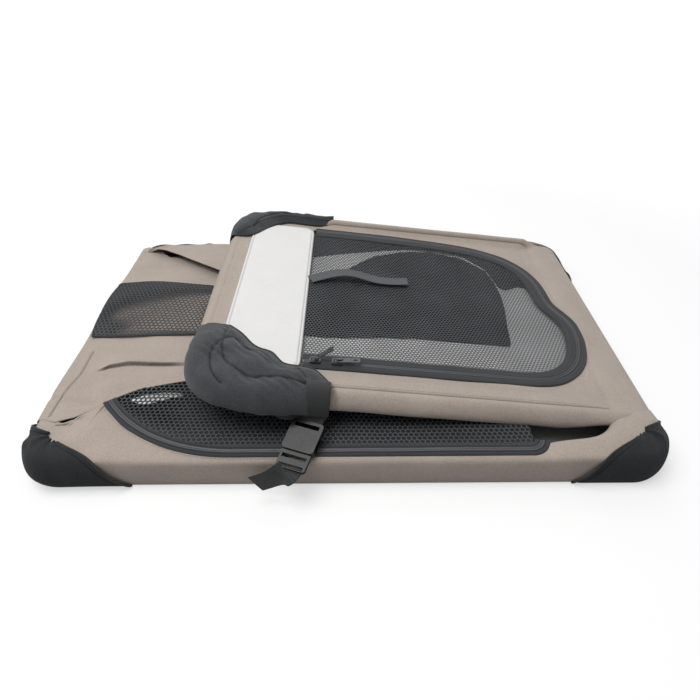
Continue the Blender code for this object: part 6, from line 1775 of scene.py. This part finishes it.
@dataclass
class Door:
    """The D-shaped mesh door, its coil zip, the linings seen through it and the grey tie strap."""

    finishes: Finishes
    middle: tuple[float, float] = (-0.20, 0.02)

    def build(self) -> None:
        """Makes all of the door's cloth."""
        self.linings()
        self.mesh()
        self.zip()
        self.tie()

    @staticmethod
    def sag(x: Array, y: Array, share: Array) -> Array:
        """The mesh's height: fast at its edge, 2.5 mm lower inside, with soft waves."""
        wave = 0.0007 * undulation(x, y, 0.12, 51) + 0.0004 * undulation(x, y, 0.05, 52)
        return 0.0100 - 0.0022 * smooth(share, 0.0, 0.35) + wave * smooth(share, 0.02, 0.2)

    def mesh(self) -> None:
        """The leaf's mesh, edged by its tape."""
        edge = evenly(door_path(-0.0052, closed=True), 641)[:-1]
        piece = fan_piece("door_net", edge, self.middle, self.sag, self.finishes.door_mesh, 60, 0.0006)
        Piece.cloth(piece, Hold.STRETCHED, "door_zip_leaf_tape", "door", Slot.MESH, "door_mesh")

    def linings(self) -> None:
        """The pale lining over the whole opening, the dark panel on it and a near-black band of painted shadow over its
        far part, all under the mesh.
        """
        edge = evenly(door_path(0.004, closed=True), 401)[:-1]

        def low(x: Array, y: Array, _share: Array) -> Array:
            """Just under the mesh."""
            return 0.0040 + 0.0005 * undulation(x, y, 0.1, 61)

        pale = fan_piece("door_lining_pale", edge, self.middle, low, self.finishes.lining_pale, 30, 0.0008)
        Piece.cloth(pale, Hold.LAID, "roof_cloth", "upper_frame", Slot.TAUPE)
        corner = mm([(-359, -80), (-323.7, -79.6), (-309.2, -77.6), (-258.8, -69), (-207.5, -66.6), (-152.7, -66.2),
                     (-110, -66), (-107, -60), (-103.7, -27.6), (-98.5, 10), (-96, 42.4), (-98, 80), (-105, 110.5),
                     (-137.2, 141.1), (-181.7, 151.5), (-228.1, 142.2), (-266.4, 123.3), (-313.4, 71.9),
                     (-343.8, 56.4), (-359, 54)])
        outline = evenly(np.concatenate([corner, corner[:1]]), 501)[:-1]

        def high(x: Array, y: Array, share: Array) -> Array:
            """On the pale lining, with a folded rim."""
            return 0.0056 + 0.0006 * undulation(x, y, 0.08, 63) + 0.0006 * bell(share, 0.0, 0.03)

        # painted shadow: a near-black band over the pale lining's far part, inside the opening
        top = mm([(-359, 104), (-303, 127.2), (-254.3, 144.6), (-210, 157), (-164.8, 162.7), (-135.3, 153),
                  (-103.5, 118), (-93.5, 70), (-85, 64), (-64.8, 76.5), (-40.9, 70.8), (-32, 52), (-33, 65),
                  (-40, 85), (-53, 113), (-70, 136), (-94, 155), (-128, 169), (-180, 177), (-250, 179), (-359, 179)])
        rim = evenly(np.concatenate([top, top[:1]]), 501)[:-1]
        arch = mm([(-359, 140), (-260, 160), (-170, 169), (-95, 135), (-70, 95), (-45, 78)])
        spine = curve(arch, 300)
        near = ((rim[:, None] - spine[None]) ** 2).sum(-1).argmin(1)
        band = upper(lifted(between(rim, spine[near], np.linspace(0.0, 1.0, 12)), 0.0052))
        shadow = sheet_piece("door_lining_shadow", band, self.finishes.lining_dark_and_shadow, UP, 0.0008, closed=True)
        Piece.cloth(shadow, Hold.LAID, "door_lining_pale", "upper_frame", Slot.BLACK, length=0.5)
        dark = fan_piece("door_lining_dark", outline, (-0.21, 0.03), high, self.finishes.lining_dark_and_shadow, 30, 0.0009)
        Piece.cloth(dark, Hold.LAID, "door_lining_pale", "upper_frame", Slot.BLACK)

    def zip(self) -> None:
        """The two tapes and the coil along the door's outline."""
        track = Track(door_path())
        at = np.linspace(0.0, track.length, 900)
        for name, section, body, node in (
            ("door_zip_outer_tape",
             mm([(10.6, 9.8), (10, 11.3), (8.8, 11.7), (6.6, 11.6), (4.8, 11.8), (2.6, 11.6), (2.2, 10.8)]),
             "upper_frame", "door_zip_track"),
            ("door_zip_leaf_tape",
             mm([(-2.2, 10.8), (-2.6, 11.6), (-4.8, 11.8), (-6.6, 11.5), (-10, 11.3), (-12.4, 11.4), (-13.4, 10.5),
                 (-13.8, 9.4)]),
             "door", "door_zip_tape"),
        ):
            offsets, heights = section.T
            flat = track.beside(at, offsets)
            level = heights[None] + 0.0003 * undulation(flat[..., 0], flat[..., 1], 0.06, 5)
            fold = np.abs(np.abs(offsets) - 0.0072) < 0.0012
            shade = np.broadcast_to(np.where(fold, 0.5, 0.15), level.shape)
            piece = sheet_piece(name, upper(lifted(flat, level)), self.finishes.tape, UP, 0.0007,
                                marks={"shade": shade})
            Piece.cloth(piece, Hold.STRETCHED, "upper_wall_cloth", body, Slot.ZIP, node, length=track.length)
        coil = coil_chain("door_zip_coil", track, 0.0112, self.finishes.coil, upper)
        Piece.ride(coil, "upper_frame", Slot.ZIP)

    def tie(self) -> None:
        """The tie strap: flat webbing laid over the mesh with one hump."""
        line = curve(mm([(-356, 33, 12.8), (-348, 37, 14), (-336, 42, 15.8), (-322, 47, 17.6), (-306, 50, 17.8),
                         (-288, 49, 16), (-270, 46.5, 13.5), (-248, 47.5, 12.2), (-225.8, 49.5, 13.5)]), 150)
        ahead = unit(np.gradient(line[:, :2], axis=0))
        side = np.stack([-ahead[:, 1], ahead[:, 0]], axis=1)
        half_width = 0.0085
        across = np.array([-1.0, -0.96, -0.8, -0.4, 0.0, 0.4, 0.8, 0.96, 1.0]) * half_width
        dip = np.array([-0.0004, 0.0, 0.0, -0.0001, -0.0002, -0.0001, 0.0, 0.0, -0.0004])
        flat = line[:, None, :2] + side[:, None] * across[None, :, None]
        world = upper(lifted(flat, line[:, 2:] + dip[None]))
        piece = sheet_piece("tie_strap_webbing", world, self.finishes.tie, UP, 0.0013,
                            uv=np.stack(np.meshgrid(across, lengths_along(line)), axis=-1))
        Piece.cloth(piece, Hold.LAID, "door_net", "door", Slot.TIE, "tie_strap", length=float(lengths_along(line)[-1]))


# ---------------------------------------------------------------- straps


@dataclass
class ClosureStrap:
    """One closure strap: its root over the roll, the web down to the buckle and the tail beyond the plug."""

    finishes: Finishes
    end: str
    side: int
    anchor_y: float
    start: tuple[float, float, float]
    ahead: tuple[float, float, float]
    root: list
    tail: tuple
    width: float = 0.025
    thickness: float = 0.0016
    plug_reach: float = 0.0543

    def ribbon(self, part: str, line: Array, beside: Array, body: str) -> None:
        """A band of webbing along a line, its width along the given unit directions."""
        node, facing = f"strap_{part}_{self.end}", (0, self.side, 0.6)
        across = np.array([-0.5, -0.485, -0.44, -0.25, 0.0, 0.25, 0.44, 0.485, 0.5]) * self.width
        normal = unit(np.cross(beside, np.gradient(line, axis=0)))
        if (normal @ np.array(facing)).mean() < 0:
            normal = -normal
        dip = np.array([-0.0005, -0.0001, 0.0, 0.00005, 0.0001, 0.00005, 0.0, -0.0001, -0.0005])
        grid = line[:, None] + beside[:, None] * across[None, :, None] + normal[:, None] * dip[None, :, None]
        uv = np.stack(np.meshgrid(across, lengths_along(line)), axis=-1)
        outward = np.broadcast_to(normal[:, None], grid.shape)
        piece = sheet_piece(f"{node}_webbing", grid, self.finishes.webbing, outward, self.thickness, uv=uv)
        Piece.cloth(piece, Hold.HUNG, "upper_wall_cloth", body, Slot.WEBBING, node,
                    length=float(lengths_along(line)[-1]))

    def build(self) -> None:
        """Makes the three lengths of webbing."""
        anchor = upper((STRAP_X, self.anchor_y, -0.0115))
        ahead = unit(np.array(self.ahead))
        begin = anchor + np.array(self.start)
        level = np.array([1.0, 0.0, 0.0])
        beside = unit(level - ahead * (level @ ahead))
        tilted = upper((1.0, 0.0, 0.0)) - upper((0.0, 0.0, 0.0))
        root = upper(curve(self.root, 70))
        self.ribbon("root", root, np.tile(tilted, (len(root), 1)), "upper_frame")
        web = curve([anchor, anchor + np.array([self.start[0] * 0.2, self.side * 0.0006, self.start[2] * 0.35]),
                     begin - ahead * 0.0045, begin - ahead * 0.0010, begin + ahead * 0.0030], 50)
        turn = smooth(np.linspace(0, 1, len(web)))[:, None]
        self.ribbon("web", web, unit(tilted * (1 - turn) + beside * turn), f"{self.end}_strap")
        plug = begin + ahead * self.plug_reach
        tail = curve([plug - ahead * 0.004, plug, *[plug + np.array(step) for step in self.tail]], 90)
        turn = smooth(np.linspace(0, 1, len(tail)), 0.05, 0.65)[:, None] * (self.side < 0)
        sides = beside * (1 - turn) + np.array([0.64, 0.0, -0.77]) * turn
        along = unit(np.gradient(tail, axis=0))
        self.ribbon("tail", tail, unit(sides - along * (sides * along).sum(1, keepdims=True)), f"{self.end}_plug")


def closure_straps(finishes: Finishes) -> list[ClosureStrap]:
    """The front strap as the photograph shows it, and the back one, of which only a tip shows."""
    front = ClosureStrap(
        finishes, "front", -1, -0.1887, (-0.0065, -0.0060, -0.00625), (-0.0150, -0.0400, -0.0110),
        root=[(STRAP_X, *place) for place in (
            (-0.1670, 0.0150), (-0.1705, 0.0190), (-0.1755, 0.0202), (-0.1815, 0.0190), (-0.1870, 0.0140),
            (-0.1910, 0.0060), (-0.1925, -0.0030), (-0.1908, -0.0115))],
        tail=((-0.006, -0.003, -0.002), (-0.016, -0.003, -0.008), (-0.034, -0.001, -0.019)))
    back = ClosureStrap(
        finishes, "back", 1, 0.2127, (-0.0065, 0.0105, -0.01105), (-0.0120, 0.0340, -0.0200),
        root=[(STRAP_X, *place) for place in (
            (0.2000, 0.0110), (0.2060, 0.0128), (0.2098, 0.0080), (0.2118, 0.0000), (0.2127, -0.0115))],
        tail=((-0.002, 0.002, -0.003), (-0.008, 0.0035, -0.0065), (-0.018, 0.0035, -0.0085)))
    return [front, back]


# ---------------------------------------------------------------- hard parts, stage and main


def finish_hard_parts(finishes: Finishes) -> None:
    """Gives the CAD's own tubes, hinges, pins, sliders, buckles and floor their materials and rounded edges."""
    looks = (
        ("floor_panel", finishes.floor, Slot.FLOOR, 0.0012), ("base_tube", finishes.steel, Slot.STEEL, 0.0),
        ("_frame_tube", finishes.steel, Slot.STEEL, 0.0), ("_bracket_", finishes.hinge, Slot.HINGE, 0.0004),
        ("_eye_", finishes.hinge, Slot.HINGE, 0.0004), ("_pin_", finishes.pin, Slot.PIN, 0.0002),
        ("zip_slider_", finishes.slider, Slot.SLIDER, 0.00025), ("zip_pull_", finishes.slider, Slot.SLIDER, 0.00025),
        ("buckle_", finishes.buckle, Slot.BUCKLE, 0.0007),
    )
    kept = set()
    for name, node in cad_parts.items():
        for part, finish, slot, width in looks:
            if part in name:
                node.data.materials.clear()
                node.data.materials.append(finish)
                if width:
                    soften(node, width)
                kept.add(name)
    log.info("hard parts kept: %d", len(kept))


@dataclass
class Studio:
    """Plain floor, white surroundings, soft lamps and the camera."""

    lens: float = 27.98
    tilt_deg: float = 38.67
    roll_deg: float = -0.64
    heading_deg: float = 0.30
    place: tuple[float, float, float] = (0.007, -0.580, 0.457)

    def build(self) -> None:
        """Sets up everything outside the crate."""
        self.world()
        ground = self.ground()
        key = self.lamp("key_light", (-0.55, -0.25, 1.75), (0.0, 0.0, 0.03), 1.25, 24.0)
        fill = self.lamp("front_fill", (0.35, -1.6, 0.95), (0.0, -0.1, 0.03), 1.5, 0.8)
        rim = self.lamp("back_light", (0.25, 1.35, 1.25), (0.0, 0.0, 0.03), 1.2, 5.5)
        self.camera()

    @staticmethod
    def world() -> None:
        """White for the camera, dimmer for the light it gives."""
        world = bpy.data.worlds.new("surroundings")
        bpy.context.scene.world = world
        world.use_nodes = True
        tree = world.node_tree
        tree.nodes.clear()
        path = tree.nodes.new("ShaderNodeLightPath")
        seen = tree.nodes.new("ShaderNodeMapRange")
        seen.inputs["To Min"].default_value, seen.inputs["To Max"].default_value = 0.38, 1.0
        tree.links.new(path.outputs["Is Camera Ray"], seen.inputs["Value"])
        glow = tree.nodes.new("ShaderNodeBackground")
        glow.inputs["Color"].default_value = (1.0, 1.0, 1.0, 1.0)
        tree.links.new(seen.outputs["Result"], glow.inputs["Strength"])
        out = tree.nodes.new("ShaderNodeOutputWorld")
        tree.links.new(glow.outputs["Background"], out.inputs["Surface"])

    @staticmethod
    def ground() -> Thing:
        """A wide pale floor that reads as white and still takes the crate's shadow."""
        made = Shader("studio_floor")
        near = made.node("ShaderNodeBsdfDiffuse", inputs={"Color": (0.85, 0.85, 0.85)})
        bounce = made.node("ShaderNodeBsdfDiffuse", inputs={"Color": (0.34, 0.34, 0.34)})
        glow = made.node("ShaderNodeEmission", inputs={"Strength": 1.2})
        away = made.node("ShaderNodeVectorMath", {"operation": "LENGTH"}, {0: made.place()}, "Value")
        limits = {"From Min": 0.6, "From Max": 1.5, "To Min": 0.45, "To Max": 1.0}
        share = made.node("ShaderNodeMapRange", inputs={**limits, "Value": away})
        by_camera = made.node("ShaderNodeLightPath", out="Is Camera Ray")
        seen = made.node("ShaderNodeMixShader", inputs={0: share, 1: near, 2: glow})
        made.node_out(made.node("ShaderNodeMixShader", inputs={0: by_camera, 1: bounce, 2: seen}))
        corners = [(x * 12.0, y * 12.0, -0.0004) for x, y in ((-1, -1), (1, -1), (1, 1), (-1, 1))]
        return add_mesh("studio_ground", corners, [(0, 1, 2, 3)], made.material)

    @staticmethod
    def lamp(name: str, place: tuple, at: tuple, size: float, watts: float) -> Thing:
        """A square area lamp turned towards a place."""
        data = bpy.data.lights.new(name, "AREA")
        data.shape, data.size, data.energy = "SQUARE", size, watts
        lamp = bpy.data.objects.new(name, data)
        turn = (Vector(at) - Vector(place)).to_track_quat("-Z", "Y")
        lamp.matrix_world = Matrix.Translation(place) @ turn.to_matrix().to_4x4()
        bpy.context.scene.collection.objects.link(lamp)
        return lamp

    def camera(self) -> None:
        """The photograph's viewpoint."""
        data = bpy.data.cameras.new("photo_camera")
        data.lens, data.sensor_width, data.sensor_fit = self.lens, 36.0, "HORIZONTAL"
        data.clip_start, data.clip_end = 0.01, 60.0
        camera = bpy.data.objects.new("photo_camera", data)
        turn = (Matrix.Rotation(math.radians(self.heading_deg), 4, "Z")
                @ Matrix.Rotation(math.radians(90 - self.tilt_deg), 4, "X")
                @ Matrix.Rotation(math.radians(self.roll_deg), 4, "Z"))
        camera.matrix_world = Matrix.Translation(self.place) @ turn
        bpy.context.scene.collection.objects.link(camera)
        bpy.context.scene.camera = camera


def main() -> None:
    """Builds the whole scene."""
    logging.basicConfig(level=logging.INFO, format="%(name)s %(message)s")
    bpy.context.scene.view_settings.view_transform = "Standard"
    finishes = Finishes()
    BaseTub(finishes).build()
    SideDoor(finishes).build()
    LowerFrame(finishes).build()
    UpperWall(finishes).build()
    for number, cap in enumerate(top_caps()):
        cap.build(finishes, 70 + 10 * number)
    Roof(finishes).build()
    Door(finishes).build()
    for strap in closure_straps(finishes):
        strap.build()
    finish_hard_parts(finishes)
    Studio().build()


if __name__ == "__main__":
    main()
